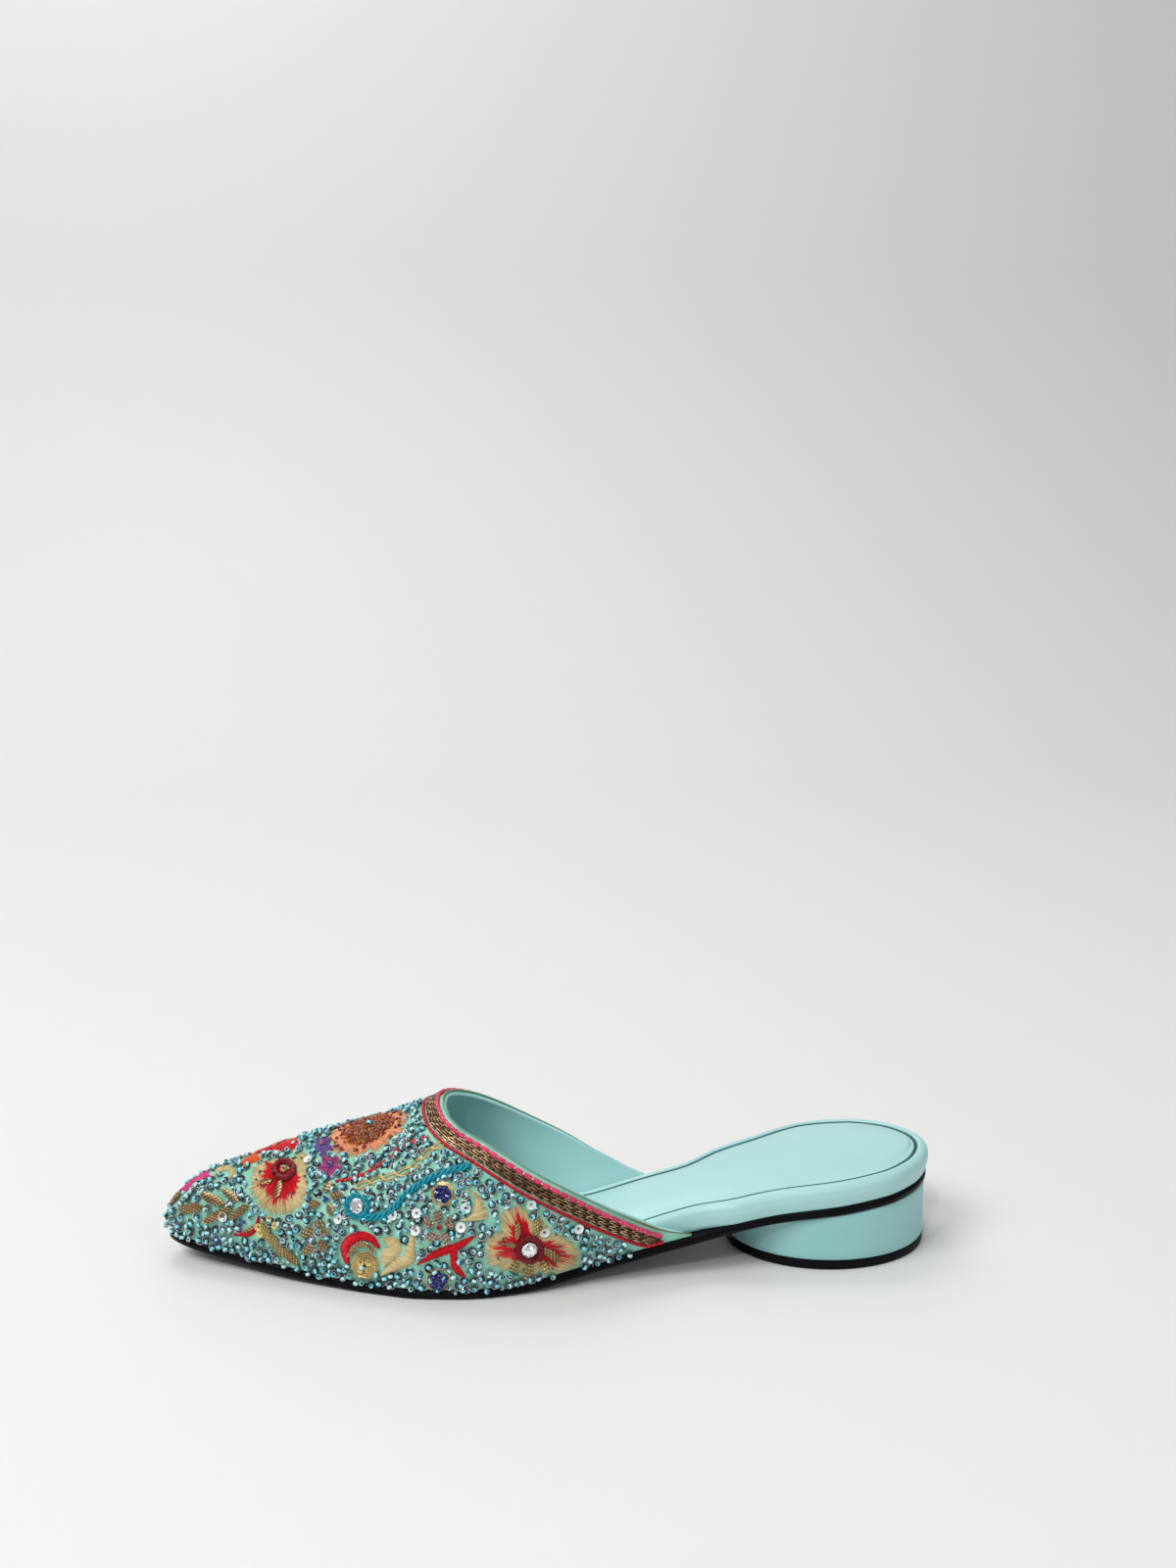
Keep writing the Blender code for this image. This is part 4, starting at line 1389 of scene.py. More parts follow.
def coil(lay, start, end, tint, radius=COIL, arch=0.0003, lift=0.0006, shares=(0, 1)):
    """A short piece of coiled wire; its turns are painted in stripes of highlight and shade."""
    start, end = np.asarray(start, float), np.asarray(end, float)
    ends = lay(np.array([start, end]))[0]
    count = int(np.clip(np.linalg.norm(ends[1] - ends[0]) / 0.00042, 5, 16))
    way = np.linspace(*shares, count)
    line, up = lay(start + (end - start) * way[:, None])
    taken.extend(line[::2].tolist())
    line = line + up * (lift + arch * np.sin(np.pi * way))[:, None]
    size = radius * np.where(np.arange(count) % 2, 1.0, 0.84)
    tint = shaded(tint, 0.25)
    tube(metal_heap, line, up, size, tint, sides=6)
    # Every other turn is lightened and the turns between are darkened: painted highlight and shade.
    turn_highlight_and_shade = np.repeat(np.where(np.arange(count) % 2, 1.15, 0.35), 6)[:, None]
    metal_heap.tints[-1] = np.clip(tint * turn_highlight_and_shade, 0, 1)


def coil_leaf(lay, start, end, width, tint, slant=0.8, pitch=1.6, lift=0.0005):
    """Coils side by side that make a leaf between two pixels."""
    start, end = np.asarray(start, float), np.asarray(end, float)
    axis = end - start
    length = np.linalg.norm(axis)
    axis /= length
    across = np.array([-axis[1], axis[0]])
    count = max(3, int(length / pitch))
    for k in range(count):
        share = (k + 0.5) / count
        middle = start + axis * length * share
        half = width / 2 * math.sin(math.pi * (0.12 + 0.76 * share)) ** 0.7
        way = across + axis * slant
        # Every other coil is lighter and the next darker: painted highlight and painted shade in the
        # grooves between the coils.
        coil(lay, middle - way * half, middle + way * half, np.array(tint) * (1.2, 0.5)[k % 2], lift=lift)


# Start, end and width in pixels, colour, slant
NEAR_COIL_LEAVES = (
    ((172, 1231), (185, 1218), 6, BRONZED, 0.6),
    ((187, 1237), (205, 1229), 11, BRONZED, 1.0),
    ((208, 1218), (228, 1230), 10, BRONZED, -0.7),
    ((210, 1247), (236, 1232), 9, BRONZED, 0.8),
    ((229, 1214), (243, 1226), 8, BRONZED, -0.5),
    ((237, 1244), (253, 1229), 8, BRONZED, 0.7),
    ((286.5, 1206.5), (284.5, 1221.5), 7, BRONZED, 0.9),
    ((268, 1208.5), (278, 1204.5), 6, BRONZED, 0.5),
    ((326, 1226), (318, 1232), 8, BRONZED, 0.4),
    ((338, 1222), (350, 1218), 8, BRONZED, 0.4),
    ((336, 1229), (340, 1239), 8, BRONZED, 0.3),
    ((332, 1217), (338, 1207), 7, BRONZED, 0.3),
    ((319, 1251), (310, 1262), 9, BRONZED, 0.3),
    ((322, 1250), (332, 1247), 8, BRONZED, 0.3),
    ((328, 1256), (337, 1257), 7, BRONZED, 0.3),
    ((326, 1266), (334, 1274), 9, BRONZED, 0.3),
    ((319, 1269), (312, 1279), 8, BRONZED, 0.3),
    ((448, 1247), (446, 1235), 10, FADED_GOLD, 0.2),
    ((454, 1250), (463, 1246), 9, FADED_GOLD, 0.2),
    ((443, 1250), (433, 1246), 9, FADED_GOLD, 0.2),
    ((452, 1257), (458, 1268), 9, FADED_GOLD, 0.2),
    ((445, 1257), (438, 1266), 9, FADED_GOLD, 0.2),
    ((528, 1263), (528, 1247), 6, BRONZED, 0.8),
    ((528, 1270), (515, 1269), 6, BRONZED, 0.8),
    ((552, 1273), (571, 1284), 8, BRONZED, 0.6),
    ((541, 1288), (536, 1303), 9, GILT, 0.1),
    ((552, 1285), (558, 1298), 8, GILT, 0.1),
    ((528, 1285), (521, 1297), 8, GILT, 0.1),
    ((547, 1258), (548, 1241), 7, GILT, 0.9),
    ((268, 1247), (277, 1264), 9, GILT, 0.9),
    ((275, 1261), (290, 1277), 11, GILT, 0.9),
    ((287, 1274), (305, 1287), 9, BRONZED, 0.9),
    ((262, 1250), (250, 1257), 4, BRONZED, 0.7),
    ((357, 1281), (364, 1271), 5, BRONZED, 1.2),
    ((364, 1271), (375, 1268), 6, BRONZED, 0.9),
    ((375, 1269), (384, 1276), 5, BRONZED, 0.6),
)
FAR_COIL_LEAVES = (
    ((286, 1113), (295, 1103), 8, GILT, 0.5),
    ((299, 1117), (317, 1102), 7, BRONZED, 0.8),
    ((316, 1102), (334, 1091), 7, GILT, 0.8),
    ((325, 1113), (338, 1098), 7, GILT, 0.9),
    ((328, 1138), (333, 1119), 8, GILT, 0.9),
    ((336, 1127), (343, 1110), 7, BRONZED, 0.9),
    ((371, 1072), (377, 1078), 5, SILVER, 0.5),
    ((356, 1082), (364, 1078), 5, SILVER, 0.5),
    ((543, 1122), (530, 1121), 6, BRONZED, 0.8),
    ((508, 1127), (506, 1117), 9, BRONZED, 0.2),
    ((514, 1131), (522, 1127), 8, BRONZED, 0.2),
    ((503, 1130), (494, 1127), 8, BRONZED, 0.2),
    ((512, 1139), (518, 1148), 8, BRONZED, 0.2),
    ((504, 1138), (498, 1146), 8, BRONZED, 0.2),
    ((563, 1124), (575, 1131), 6, BRONZED, 0.8),
)
for view, leaves in ((near, NEAR_COIL_LEAVES), (far, FAR_COIL_LEAVES)):
    for start, end, width, tint, slant in leaves:
        coil_leaf(view, start, end, width, tint, slant, lift=0.0009)


def scalloped_ring(lay, centre, reach, tint, scallops=8, wire=0.00026):
    """Twisted wire laid in a ring of small arcs."""
    turns = 2 * np.pi * np.arange(48) / 48
    wave = 1 + 0.11 * np.abs(np.sin(turns * scallops / 2))
    path = np.array(centre) + reach * wave[:, None] * np.stack([np.cos(turns), np.sin(turns)], axis=1)
    line, up = lay(path)
    taken.extend(line[::3].tolist())
    for lift, shift, tone in ((0.0005, 1.0, 1.0), (0.0009, 0.91, 0.55), (0.0009, 0.83, 1.1)):
        middle = line.mean(axis=0)
        ring = middle + (line - middle) * shift + up * lift
        tube(metal_heap, ring, up, wire, np.array(tint) * tone, sides=5, closed=True)


def petal_flower(lay, centre, reach, petals, tint, radius=0.00030):
    """A small flower whose petals are double loops of coiled wire or thread."""
    centre = np.array(centre, float)
    for k in range(petals):
        way = toward(2 * math.pi * (k + 0.25) / petals)
        across = np.array([-way[1], way[0]])
        for size in (1.0, 0.66, 0.30):
            turns = 2 * np.pi * np.arange(12) / 12
            ring = way * (0.58 * reach) + reach * 0.42 * size * (
                np.cos(turns)[:, None] * way + 0.75 * np.sin(turns)[:, None] * across
            )
            line, up = lay(centre + ring)
            taken.extend(line[::3].tolist())
            lift = 0.0005 + 0.0004 * (1 - size)
            tube(petal_heap, line + up * lift, up, radius, shaded(tint), sides=5, closed=True)


petal_heap = Heap()
# Side, centre and reach in pixels, petals, colour
SMALL_FLOWERS = (
    (near, (337.5, 1191), 12, 5, MAGENTA),
    (near, (329.6, 1171), 10, 5, VIOLET),
    (far, (449.7, 1082), 9.5, 6, VIOLET),
    (far, (478, 1100), 9.0, 5, MAGENTA),
    (far, (480.6, 1062), 8.5, 5, MAGENTA),
)
NEAR_BLUE_EYES = ((452.6, 1219.0), (447.5, 1306.0))
FAR_BLUE_EYES = ((398.0, 1116.0), (501.4, 1084.0))
NEAR_GILT_RING = (372.7, 1290.5)
FAR_GILT_RING = (411.0, 1144.0)
for flower in SMALL_FLOWERS:
    petal_flower(*flower)
for view, centres, reach in ((near, NEAR_BLUE_EYES, 11.0), (far, FAR_BLUE_EYES, 9.5)):
    for centre in centres:
        scalloped_ring(view, centre, reach, GILT)
for reach in (12.5, 10.0, 7.5):
    scalloped_ring(near, NEAR_GILT_RING, reach, GILT, 7)
    scalloped_ring(far, FAR_GILT_RING, reach * 0.8, GILT, 7)

# Orange coils and small loops fill the peach flower's middle
PEACH_COILS = 250
for k in range(PEACH_COILS):
    turn = random.uniform(0, 2 * math.pi)
    middle = toward(turn) * PEACH_REACH * (math.sqrt(random.random()) * 0.64)
    way = toward(random.uniform(0, math.pi)) * random.uniform(0.6, 1.1)
    tint = ORANGE_WIRE if random.random() < 0.55 else RUST_WIRE
    coil(peach_flower, middle - way, middle + way, tint, 0.00030, 0.0006, 0.0005)
petal_heap.piece("small_thread_flowers", silk_thread, "upper_fabric")
metal_heap.piece("coiled_wire_leaves", metal_thread, "upper_fabric")

# Sewn cords: a wine chenille coil round each flower's eye, a teal silk rope of three strands,
# a red line bound with gold ties, and a chain of gilt eyes.
TEAL_SILK = (0.003, 0.330, 0.440)
cord_heap = Heap()
chain_heap = Heap()


ROPE_POINTS = 60


def rope(lay, path, strands, spread, radius, pitch, tint, lift=0.0007):
    """Strands twisted round each other along a line of pixels."""
    rough, normals = lay(flow(path, ROPE_POINTS))
    count = max(12, int(line_length(rough) / 0.0005))
    line, up = evenly(rough, normals, count)
    taken.extend(line[::2].tolist())
    across = np.cross(unit(np.gradient(line, axis=0)), up)
    way = np.linspace(0, line_length(line), count)
    for strand in range(strands):
        turn = 2 * np.pi * (way / pitch + strand / strands)
        aside = across * (np.cos(turn) * spread)[:, None]
        path = line + aside + up * (lift + np.sin(turn) * spread * 0.6)[:, None]
        tube(cord_heap, path, up, radius, shaded(tint, 0.15), sides=6)


def circle(centre, reach, start=0.0, end=360.0, count=30, squash=1.0):
    turns = np.radians(np.linspace(start, end, count))
    return np.array(centre) + reach * np.stack([np.cos(turns), np.sin(turns) * squash], axis=1)


TEAL_EYE = (365.0, 1231.0)
COIL_EYE = (291.0, 1195.0)
INNER_EYE = (426.8, 1091.7)
TEAL_TAIL = (
    (370, 1241.5), (379, 1242), (389, 1241), (404.5, 1231), (414, 1220), (425, 1211.5),
    (446, 1200), (480, 1189.5),
)
INNER_TAIL = (
    (436, 1095), (446, 1096), (456.6, 1091.5), (473, 1080.5), (489.7, 1070.5), (503, 1066), (514, 1064),
)
rope(near, circle(TEAL_EYE, 11.0, -60, 285), 2, 0.00055, 0.00052, 0.0046, TEAL_SILK)
rope(near, circle(TEAL_EYE, 8.8, -170, 95), 1, 0.0, 0.00048, 0.0042, TEAL_SILK)
rope(near, TEAL_TAIL, 3, 0.00080, 0.00056, 0.0066, TEAL_SILK, 0.0009)
rope(near, circle(COIL_EYE, 9.4, 150, 500, squash=0.85), 3, 0.0007, 0.00062, 0.0030, WINE, 0.0012)
rope(near, circle(CRYSTAL_FLOWER, 11.5), 3, 0.0007, 0.00058, 0.0026, WINE, 0.0011)
rope(far, circle(INNER_EYE, 8.2), 3, 0.0006, 0.00060, 0.0026, WINE, 0.0010)
rope(far, circle(INNER_CRYSTAL, 7.5), 3, 0.0006, 0.00052, 0.0026, WINE, 0.0010)
rope(far, INNER_TAIL, 3, 0.0006, 0.00055, 0.0028, WINE, 0.0009)

RED_LINE = (
    (343, 1206), (358, 1203.5), (375, 1197), (388, 1189), (400, 1180.5), (409, 1172), (422, 1166),
    (438, 1160.5),
)
TIE_STEP = 0.0036
rough, normals = near(flow(RED_LINE, ROPE_POINTS))
taken.extend(rough.tolist())
segmented_cord(cord_heap, rough, normals, RED_CORD, TIE_STEP, CRIMSON, tuck=0.45)
ties, tie_up = evenly(rough, normals, round(line_length(rough) / TIE_STEP) + 1)
for k in range(1, len(ties) - 1):
    along = ties[k + 1] - ties[k - 1]
    across = np.cross(along / np.linalg.norm(along), tie_up[k])
    rise = tie_up[k] * np.array([[0.0002], [0.0009], [0.0002]])
    tie = ties[k] + across * np.array([[-0.0006], [0.0], [0.0006]]) + rise
    tube(chain_heap, tie, np.broadcast_to(tie_up[k], (3, 3)), 0.00022, GILT, sides=5)

EYE_STEP = 0.0052
GILT_CHAIN = ((364, 1212), (384, 1205), (401, 1201), (419, 1193), (429, 1185), (440, 1174), (456, 1166))
rough, normals = near(flow(GILT_CHAIN, ROPE_POINTS))
taken.extend(rough.tolist())
links = round(line_length(rough) / EYE_STEP)
for k in range(links):
    part, up = evenly(rough, normals, 9, k / links, (k + 1) / links)
    across = np.cross(unit(np.gradient(part, axis=0)), up)
    bow = np.sin(np.linspace(0.06, 0.94, 9) * np.pi)[:, None]
    for reach, tone in ((-0.0015, 0.95), (-0.0008, 1.1), (0.0008, 0.95), (0.0015, 1.1)):
        line = part + across * bow * reach + up * 0.0006
        tube(chain_heap, line, up, 0.00021, np.array(GILT) * tone, sides=5)
    for side in (0.001, -0.001):
        taken.extend((part + across * bow * side).tolist())
    knot = part[0] + up[0] * 0.0006 + across[0] * np.array([[-0.0006], [0.0], [0.0006]])
    tube(chain_heap, knot, np.broadcast_to(up[0], (3, 3)), 0.00035, GILT, sides=5)
cord_heap.piece("sewn_cords", silk_thread, "upper_fabric")
chain_heap.piece("gilt_chain", metal_thread, "upper_fabric")

# Crystals are foil-backed cut stones, one in the eye of each cord ring, held down by the cord.
# Each is a round brilliant with a flat table, two rows of facets and a girdle.
STONE = (0.90, 0.92, 0.93)
STONE_DARK_REFLECTION = (0.10, 0.11, 0.12)
STONE_BRIGHT_REFLECTION = (0.95, 0.96, 0.97)
# Turn of a ring in eighths, its reach and its height as shares of the radius
BRILLIANT = ((0, 1.0, 0.0), (0, 1.0, 0.22), (0.5, 0.86, 0.50), (0, 0.52, 0.78))
crystal_heap = Heap()


def crystal(lay, centre, radius, lift=0.0006):
    """One stone: rings of eight corners, from the foot of the girdle up to the table."""
    place, up = at_spot(lay, centre)
    side = np.cross(up, [1.0, 0.0, 0.1])
    side /= np.linalg.norm(side)
    other = np.cross(up, side)
    points = []
    for twist, reach, level in BRILLIANT:
        for k in range(8):
            turn = 2 * math.pi * (k + twist) / 8
            points.append(
                place + (side * math.cos(turn) + other * math.sin(turn)) * radius * reach
                + up * (lift + radius * level)
            )
    faces = [tuple(range(24, 32))]
    for ring in range(3):
        for k in range(8):
            a, b = ring * 8 + k, ring * 8 + (k + 1) % 8
            faces += [(a, b, b + 8), (a, b + 8, a + 8)]
    crystal_heap.add(points, faces, STONE)
    for turn in range(6):
        taken.append((place + (side * math.cos(turn) + other * math.sin(turn)) * radius * 0.7).tolist())


crystal(near, TEAL_EYE, 0.0026)
crystal(near, CRYSTAL_FLOWER, 0.0028, 0.0009)
crystal(far, INNER_EYE, 0.0026)
crystal(far, INNER_CRYSTAL, 0.0024, 0.0009)
stone = new_material("cut_stone", STONE, 0.04, Metallic=0.75, Coat_Weight=1.0)
# The stone's colour is broken into cells of dark and bright: painted reflections on its facets.
reflection_cells = add_node(stone, "ShaderNodeTexVoronoi", Vector=object_place(stone), Scale=900.0)
painted_reflection_ramp = add_node(stone, "ShaderNodeValToRGB", Fac=reflection_cells.outputs["Distance"])
for stop, place, colour in zip(painted_reflection_ramp.color_ramp.elements, (0.15, 0.45), (STONE_DARK_REFLECTION, STONE_BRIGHT_REFLECTION)):
    stop.position = place
    stop.color = (*colour, 1.0)
link(stone, painted_reflection_ramp.outputs["Color"], "Base Color")
crystal_heap.piece("cut_crystals", stone, "upper_fabric", sharp=2)

# Loose beads and sequins come last. Each unit is a smoky cup sequin held by a pale aqua glass
# bead; white and gilt sequins and small dark beads mark a few places. They fill what is left.
BEAD_RADIUS = 0.00092
SEQUIN_RADIUS = 0.00162
UNIT_TRIES = 36000
UNIT_STEP = 0.00246
UNIT_CLEAR = 0.0012
LONE_TRIES = 9000
LONE_STEP = 0.0018
LONE_CLEAR = 0.0009
EDGE_CLEAR = 0.0090
BEADS_END_STATION = 0.415
CELL = 0.003
AQUA_GLASS = (0.26, 0.84, 1.00)
PALE_GLASS = (0.54, 0.95, 1.00)
COBALT_GLASS = (0.05, 0.09, 0.45)
BLUE_GLASS = (0.15, 0.20, 0.60)
PURPLE_GLASS = (0.25, 0.10, 0.45)
ROSE_GLASS = (0.75, 0.20, 0.40)
PINK_GLASS = (0.75, 0.35, 0.42)
RED_GLASS = (0.60, 0.01, 0.03)
AMBER_GLASS = (0.70, 0.50, 0.20)
TEAL_GLASS = (0.02, 0.22, 0.24)
GARNET_GLASS = (0.30, 0.012, 0.008)
ORANGE_GLASS = (0.65, 0.16, 0.01)
NIGHT_BLUE = (0.020, 0.014, 0.30)
SMOKE = (0.06, 0.07, 0.075)
PEARL = (0.94, 0.95, 0.96)
GILT_FOIL = (0.80, 0.58, 0.16)


def lathe(profile, around, closed):
    """A ring of flat profiles turned about +Z: points, faces and each point's place in the profile."""
    turns = 2 * np.pi * np.arange(around) / around
    points = np.array([(r * math.cos(t), r * math.sin(t), z) for t in turns for r, z in profile])
    size = len(profile)
    faces = []
    for a in range(around):
        b = (a + 1) % around
        for k in range(size if closed else size - 1):
            after = (k + 1) % size
            faces.append((a * size + k, b * size + k, b * size + after, a * size + after))
    return points, faces, np.tile(np.arange(size), around)


# Distance from the axis and height, as shares of the radius, then the painted shade and glint at each of
# these rings
BEAD_PROFILE = ((0.30, -0.50), (0.78, -0.62), (1.0, -0.22), (1.0, 0.22), (0.78, 0.62), (0.30, 0.50))
SEQUIN_PROFILE = (
    (0.20, 0.00), (0.42, 0.02), (0.52, 0.07), (0.62, 0.06), (0.82, 0.14), (0.95, 0.27), (1.03, 0.30),
    (0.62, -0.04),
)
bead_form = lathe(BEAD_PROFILE, 10, True)
sequin_form = lathe(SEQUIN_PROFILE, 10, True)
# Painted shade in each bead's hole and on its shoulders. On the smoky sequins, painted glints in bright
# rings between dark ones. On the pale sequins, painted shade in the hole and underneath.
BEAD_PAINTED_SHADE = np.array([0.03, 0.70, 1.0, 1.0, 0.70, 0.03])
SEQUIN_GLINTS_AND_SHADE = np.array([0.04, 0.06, 5.0, 0.06, 0.10, 7.0, 11.0, 0.1])
PALE_SEQUIN_PAINTED_SHADE = np.array([0.2, 0.85, 1.0, 0.9, 1.0, 1.1, 1.0, 0.5])


def stamp(heap, form, place, axis, radius, tint, painted_shading, spin=0.0):
    """A copy of a turned form with its axis in a given direction."""
    points, faces, ring = form
    axis = np.asarray(axis, float) / np.linalg.norm(axis)
    side = np.cross(axis, [0.3, 0.2, 0.9] if abs(axis[2]) < 0.9 else [1.0, 0.0, 0.0])
    side /= np.linalg.norm(side)
    other = np.cross(axis, side)
    first = side * math.cos(spin) + other * math.sin(spin)
    second = np.cross(axis, first)
    moved = place + radius * (points[:, :1] * first + points[:, 1:2] * second + points[:, 2:] * axis)
    # The tint is multiplied ring by ring by the painted shade and glints.
    heap.add(moved, faces, np.clip(np.array(tint) * painted_shading[ring][:, None], 0, 1))


def bead(heap, place, up, radius, tint, upright=False, lift=0.9):
    turn = random.uniform(0, 2 * math.pi)
    side = np.cross(up, [1.0, 0.0, 0.1])
    side /= np.linalg.norm(side)
    lean = side * math.cos(turn) + np.cross(up, side) * math.sin(turn)
    axis = up + lean * (random.uniform(0, 0.3) if upright else random.uniform(0.7, 2.5))
    stamp(heap, bead_form, place + up * radius * lift, axis, radius, shaded(tint, 0.12), BEAD_PAINTED_SHADE)


def sequin(heap, place, up, radius, tint, lean=0.35, lift=0.0003):
    axis = up + lean * random.standard_normal(3)
    # Smoky sequins take the painted glints and shade, and pale ones the painted shade in the hole and
    # underneath.
    painted_shading, spread = (SEQUIN_GLINTS_AND_SHADE, 0.85) if tint is SMOKE else (PALE_SEQUIN_PAINTED_SHADE, 0.08)
    tint = shaded(tint, spread)
    stamp(heap, sequin_form, place + up * lift, axis, radius, tint, painted_shading, random.uniform(0, 6))


colour_beads = Heap()
light_sequins = Heap()
NEAR_WHITE = (
    (315.8, 1185), (346.8, 1243.7), (402, 1240), (425, 1255.5), (541.6, 1228.8), (475.6, 1232.6),
    (470.8, 1251.7), (589.4, 1252.7), (555, 1256.5), (229, 1241), (426, 1238),
)
FAR_WHITE = ((390.4, 1095.6), (370, 1117), (467, 1093.7), (480, 1089.6), (452, 1075), (323, 1118))
NEAR_GILT = (
    (276, 1243), (282, 1250), (265, 1251.5), (267, 1258), (369, 1287), (377, 1287), (369, 1294),
    (377, 1294),
)
FAR_GILT = (
    (408, 1141), (414, 1141), (408, 1147), (414, 1147), (322, 1092), (331, 1090), (345, 1107),
    (345, 1115), (339, 1098),
)
for view, spots, tint, size in (
    (near, NEAR_WHITE, PEARL, 0.0017),
    (far, FAR_WHITE, PEARL, 0.0016),
    (near, NEAR_GILT, GILT_FOIL, 0.0013),
    (far, FAR_GILT, GILT_FOIL, 0.0012),
):
    for spot in spots:
        place, up = at_spot(view, spot)
        sequin(light_sequins, place, up, size, tint, 0.12, 0.0009)
        taken.extend((place + [shift, 0, 0]).tolist() for shift in (0.0, 0.0006, -0.0006))
# Side, centre and reach in pixels, beads in the middle, beads around it, colour, radius
CLUSTERS = (
    (near, NEAR_BLUE_EYES[0], 5.8, 1, 5, NIGHT_BLUE, 0.0012),
    (near, NEAR_BLUE_EYES[1], 5.8, 1, 5, NIGHT_BLUE, 0.0012),
    (far, FAR_BLUE_EYES[0], 5.0, 1, 5, NIGHT_BLUE, 0.0012),
    (far, FAR_BLUE_EYES[1], 4.8, 1, 5, NIGHT_BLUE, 0.0011),
    (near, (247.5, 1246.5), 2.6, 0, 3, COBALT_GLASS, 0.0006),
    (near, (221.4, 1264.4), 3.0, 0, 4, COBALT_GLASS, 0.0006),
    (near, (333, 1224), 2.0, 0, 3, COBALT_GLASS, 0.0006),
    (near, (337.5, 1190), 0.0, 1, 0, PURPLE_GLASS, 0.0011),
    (near, (329.6, 1168.5), 0.0, 1, 0, ROSE_GLASS, 0.0010),
    (far, (449.5, 1081.5), 0.0, 1, 0, ROSE_GLASS, 0.0010),
    (far, (478, 1099.5), 0.0, 1, 0, BLUE_GLASS, 0.0010),
    (far, (480.6, 1061.5), 0.0, 1, 0, ROSE_GLASS, 0.0010),
    (near, (448.8, 1251.7), 0.0, 1, 0, RED_GLASS, 0.0010),
    (far, (509, 1133), 0.0, 1, 0, RED_GLASS, 0.0010),
    (near, COIL_EYE, 0.0, 1, 0, AMBER_GLASS, 0.0011),
)
for view, centre, reach, middle, around, tint, size in CLUSTERS:
    spots = [np.array(centre)] * middle
    spots += [np.array(centre) + reach * toward(2 * math.pi * k / around) for k in range(around)]
    for spot in spots:
        place, up = at_spot(view, spot)
        bead(colour_beads, place + up * 0.0003, up, size, tint, True)
        taken.append(place.tolist())
PINK_SPOTS = (
    (324.5, 1250), (320, 1262), (310, 1266), (316, 1266), (332, 1261), (323, 1275.6), (436, 1242),
    (435, 1259), (458.5, 1242.5), (442, 1262), (455, 1261), (437, 1250), (461, 1252), (449, 1263),
)
PINK_BEAD = 0.00072
SEED_BEAD = 0.00045
PEACH_BEAD = 0.00062
OVER_STITCHES = 0.0004
for spot in PINK_SPOTS:
    place, up = at_spot(near, spot)
    bead(colour_beads, place + up * OVER_STITCHES, up, PINK_BEAD, PINK_GLASS, True)
SEED_BEADS = 22
PEACH_BEADS = 170
PEACH_INNER_BEADS = 130
for centre, reaches in ((COIL_FLOWER, (22, 30)), (CRYSTAL_FLOWER, (24, 36))):
    for k in range(SEED_BEADS):
        way = toward(random.uniform(0, 2 * math.pi)) * (1.0, 0.8)
        place, up = at_spot(near, np.array(centre) + random.uniform(*reaches) * way)
        bead(colour_beads, place + up * OVER_STITCHES, up, SEED_BEAD, TEAL_GLASS, True)
for k in range(PEACH_BEADS):
    way = toward(random.uniform(0, 2 * math.pi)) * PEACH_REACH
    away = random.uniform(0.15, 0.68) if k < PEACH_INNER_BEADS else random.uniform(0.70, 0.92)
    place, up = at_spot(peach_flower, way * away)
    tint = GARNET_GLASS if k % 3 else ORANGE_GLASS
    bead(colour_beads, place + up * OVER_STITCHES, up, PEACH_BEAD, tint, True)

# The rest of the ground: units are thrown at random and kept where there is room
corners = outer_face[:-1, :-1], outer_face[1:, :-1], outer_face[1:, 1:], outer_face[:-1, 1:]
areas = np.linalg.norm(np.cross(corners[1] - corners[0], corners[3] - corners[0]), axis=2)
areas[:, 0] *= 1.3
chances = (areas / areas.sum()).ravel()
topline = outer_face[:, -1]
stitched = KDTree(len(taken))
for k, point in enumerate(taken):
    stitched.insert(point, k)
stitched.balance()
kept = {}
neighbours = [(dx, dy, dz) for dx in (-1, 0, 1) for dy in (-1, 0, 1) for dz in (-1, 0, 1)]


def cell_of(point):
    return tuple(np.floor(point / CELL).astype(int))


def crowded(point, reach):
    """Whether a kept unit is nearer than a distance."""
    x, y, z = cell_of(point)
    for dx, dy, dz in neighbours:
        for other in kept.get((x + dx, y + dy, z + dz), ()):
            if np.sum((other - point) ** 2) < reach * reach:
                return True
    return False


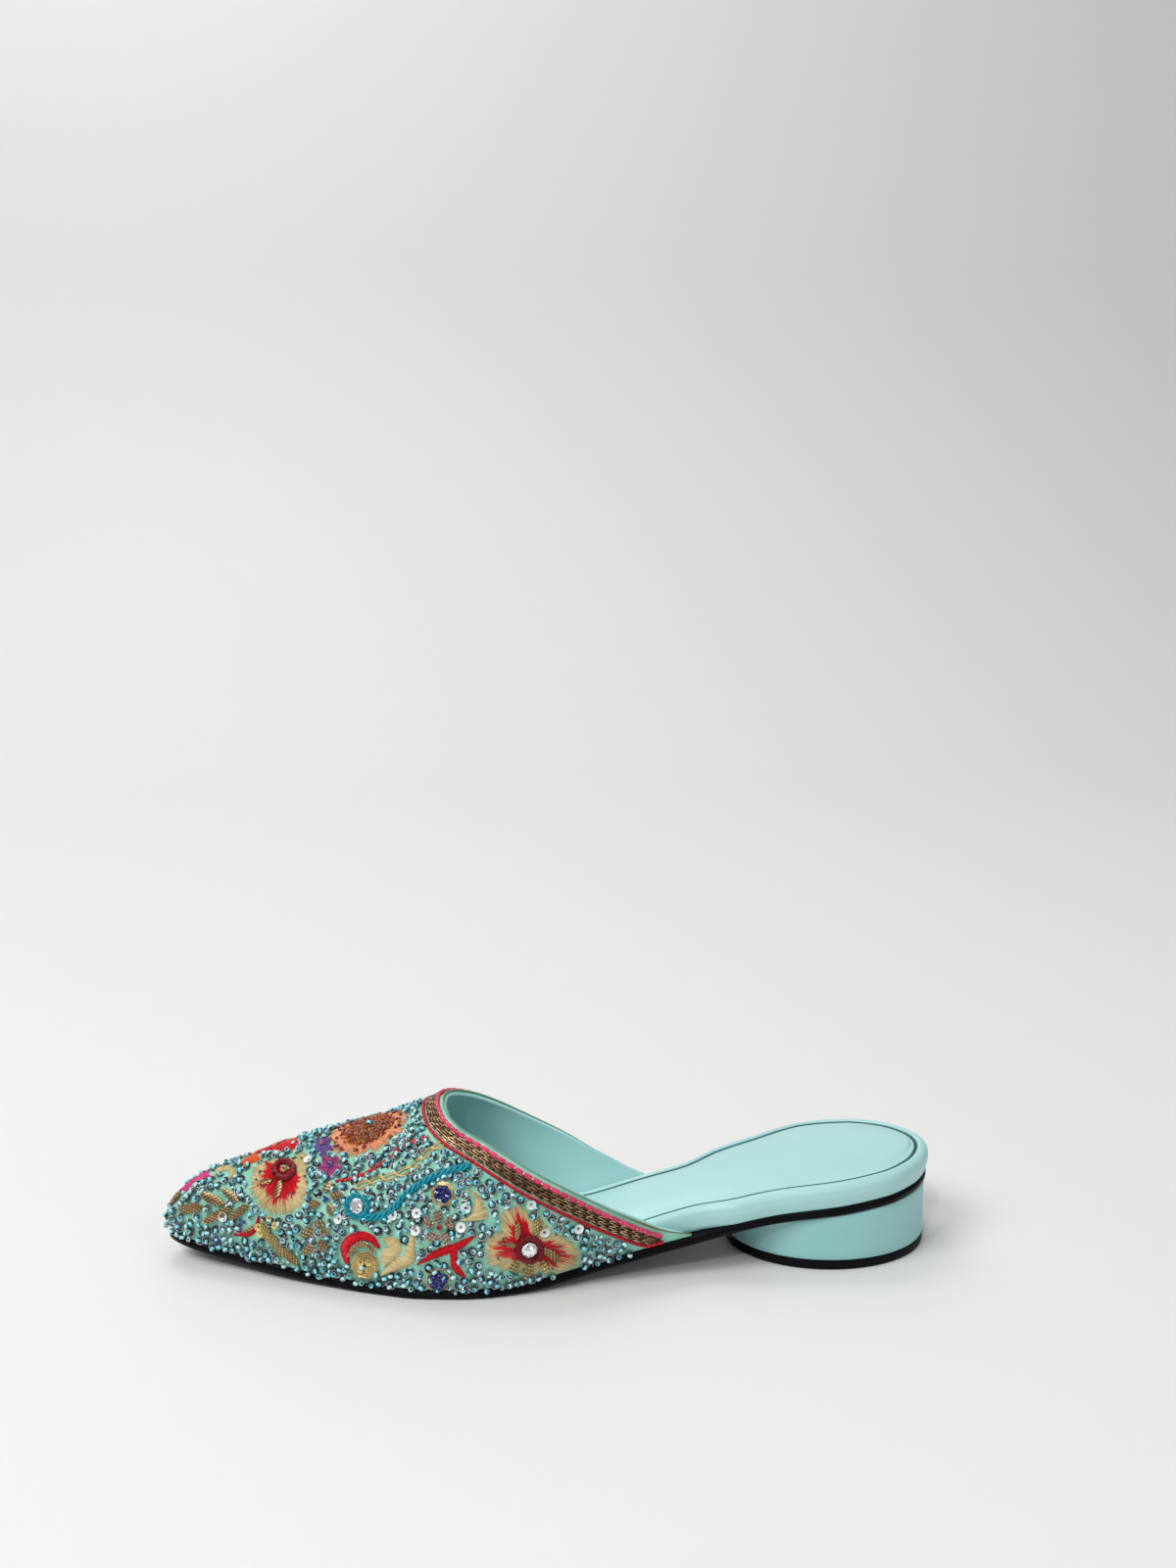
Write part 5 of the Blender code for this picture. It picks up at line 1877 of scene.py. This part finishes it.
def throw(tries, reach, clear):
    """Random places on the silk that keep their distance."""
    found = []
    picks = random.choice(len(chances), tries, p=chances)
    shares = random.random((tries, 2))
    for pick, (u, v) in zip(picks, shares):
        i, k = divmod(int(pick), columns - 1)
        a, b, c, d = (corner[i, k] for corner in corners)
        point = (a * (1 - u) + b * u) * (1 - v) + (d * (1 - u) + c * u) * v
        if station_at(point[0]) < BEADS_END_STATION or crowded(point, reach):
            continue
        if stitched.find(point)[2] < clear:
            continue
        if np.min(np.sum((topline - point) ** 2, axis=1)) < EDGE_CLEAR**2:
            continue
        kept.setdefault(cell_of(point), []).append(point)
        found.append((point, face_normals[i, k]))
    return found


aqua_beads = Heap()
smoky_sequins = Heap()
pale_beads = Heap()
for point, up in throw(UNIT_TRIES, UNIT_STEP, UNIT_CLEAR):
    sequin(smoky_sequins, point, up, SEQUIN_RADIUS * random.uniform(0.9, 1.08), SMOKE)
    slide = np.cross(up, random.standard_normal(3))
    slide *= 0.0005 / np.linalg.norm(slide)
    heap, glass = (pale_beads, PALE_GLASS) if random.random() < 0.45 else (aqua_beads, AQUA_GLASS)
    size = BEAD_RADIUS * random.uniform(0.85, 1.04)
    bead(heap, point + up * 0.0004 + slide, up, size, glass)
# Lone beads stand in the gaps that are too small for a unit
for point, up in throw(LONE_TRIES, LONE_STEP, LONE_CLEAR):
    if random.random() < 0.5:
        bead(pale_beads, point, up, BEAD_RADIUS * random.uniform(0.65, 0.9), PALE_GLASS)


# Heap, piece, material, roughness, metallic, shade, coat, its roughness, angle of its sharp edges
BEAD_PIECES = (
    (aqua_beads, "aqua_glass_beads", "aqua_glass", 0.16, 0.0, 0.95, 0.6, 0.05, 60),
    (pale_beads, "pale_glass_beads", "pale_glass", 0.14, 0.0, 0.95, 0.6, 0.05, 60),
    (colour_beads, "coloured_beads", "coloured_glass", 0.12, 0.0, 0.95, 0.6, 0.05, 60),
    (smoky_sequins, "smoky_cup_sequins", "smoky_foil", 0.14, 0.3, 0.8, 0.7, 0.05, 12),
    (light_sequins, "pale_sequins", "pearl_foil", 0.35, 0.0, 0.8, 0.4, 0.1, 12),
)
for heap, name, finish, gloss, metallic, shade, coat, coat_gloss, sharp in BEAD_PIECES:
    finish = thread_material(finish, gloss, metallic, shade, Coat_Weight=coat, Coat_Roughness=coat_gloss)
    heap.piece(name, finish, "upper_fabric", sharp)
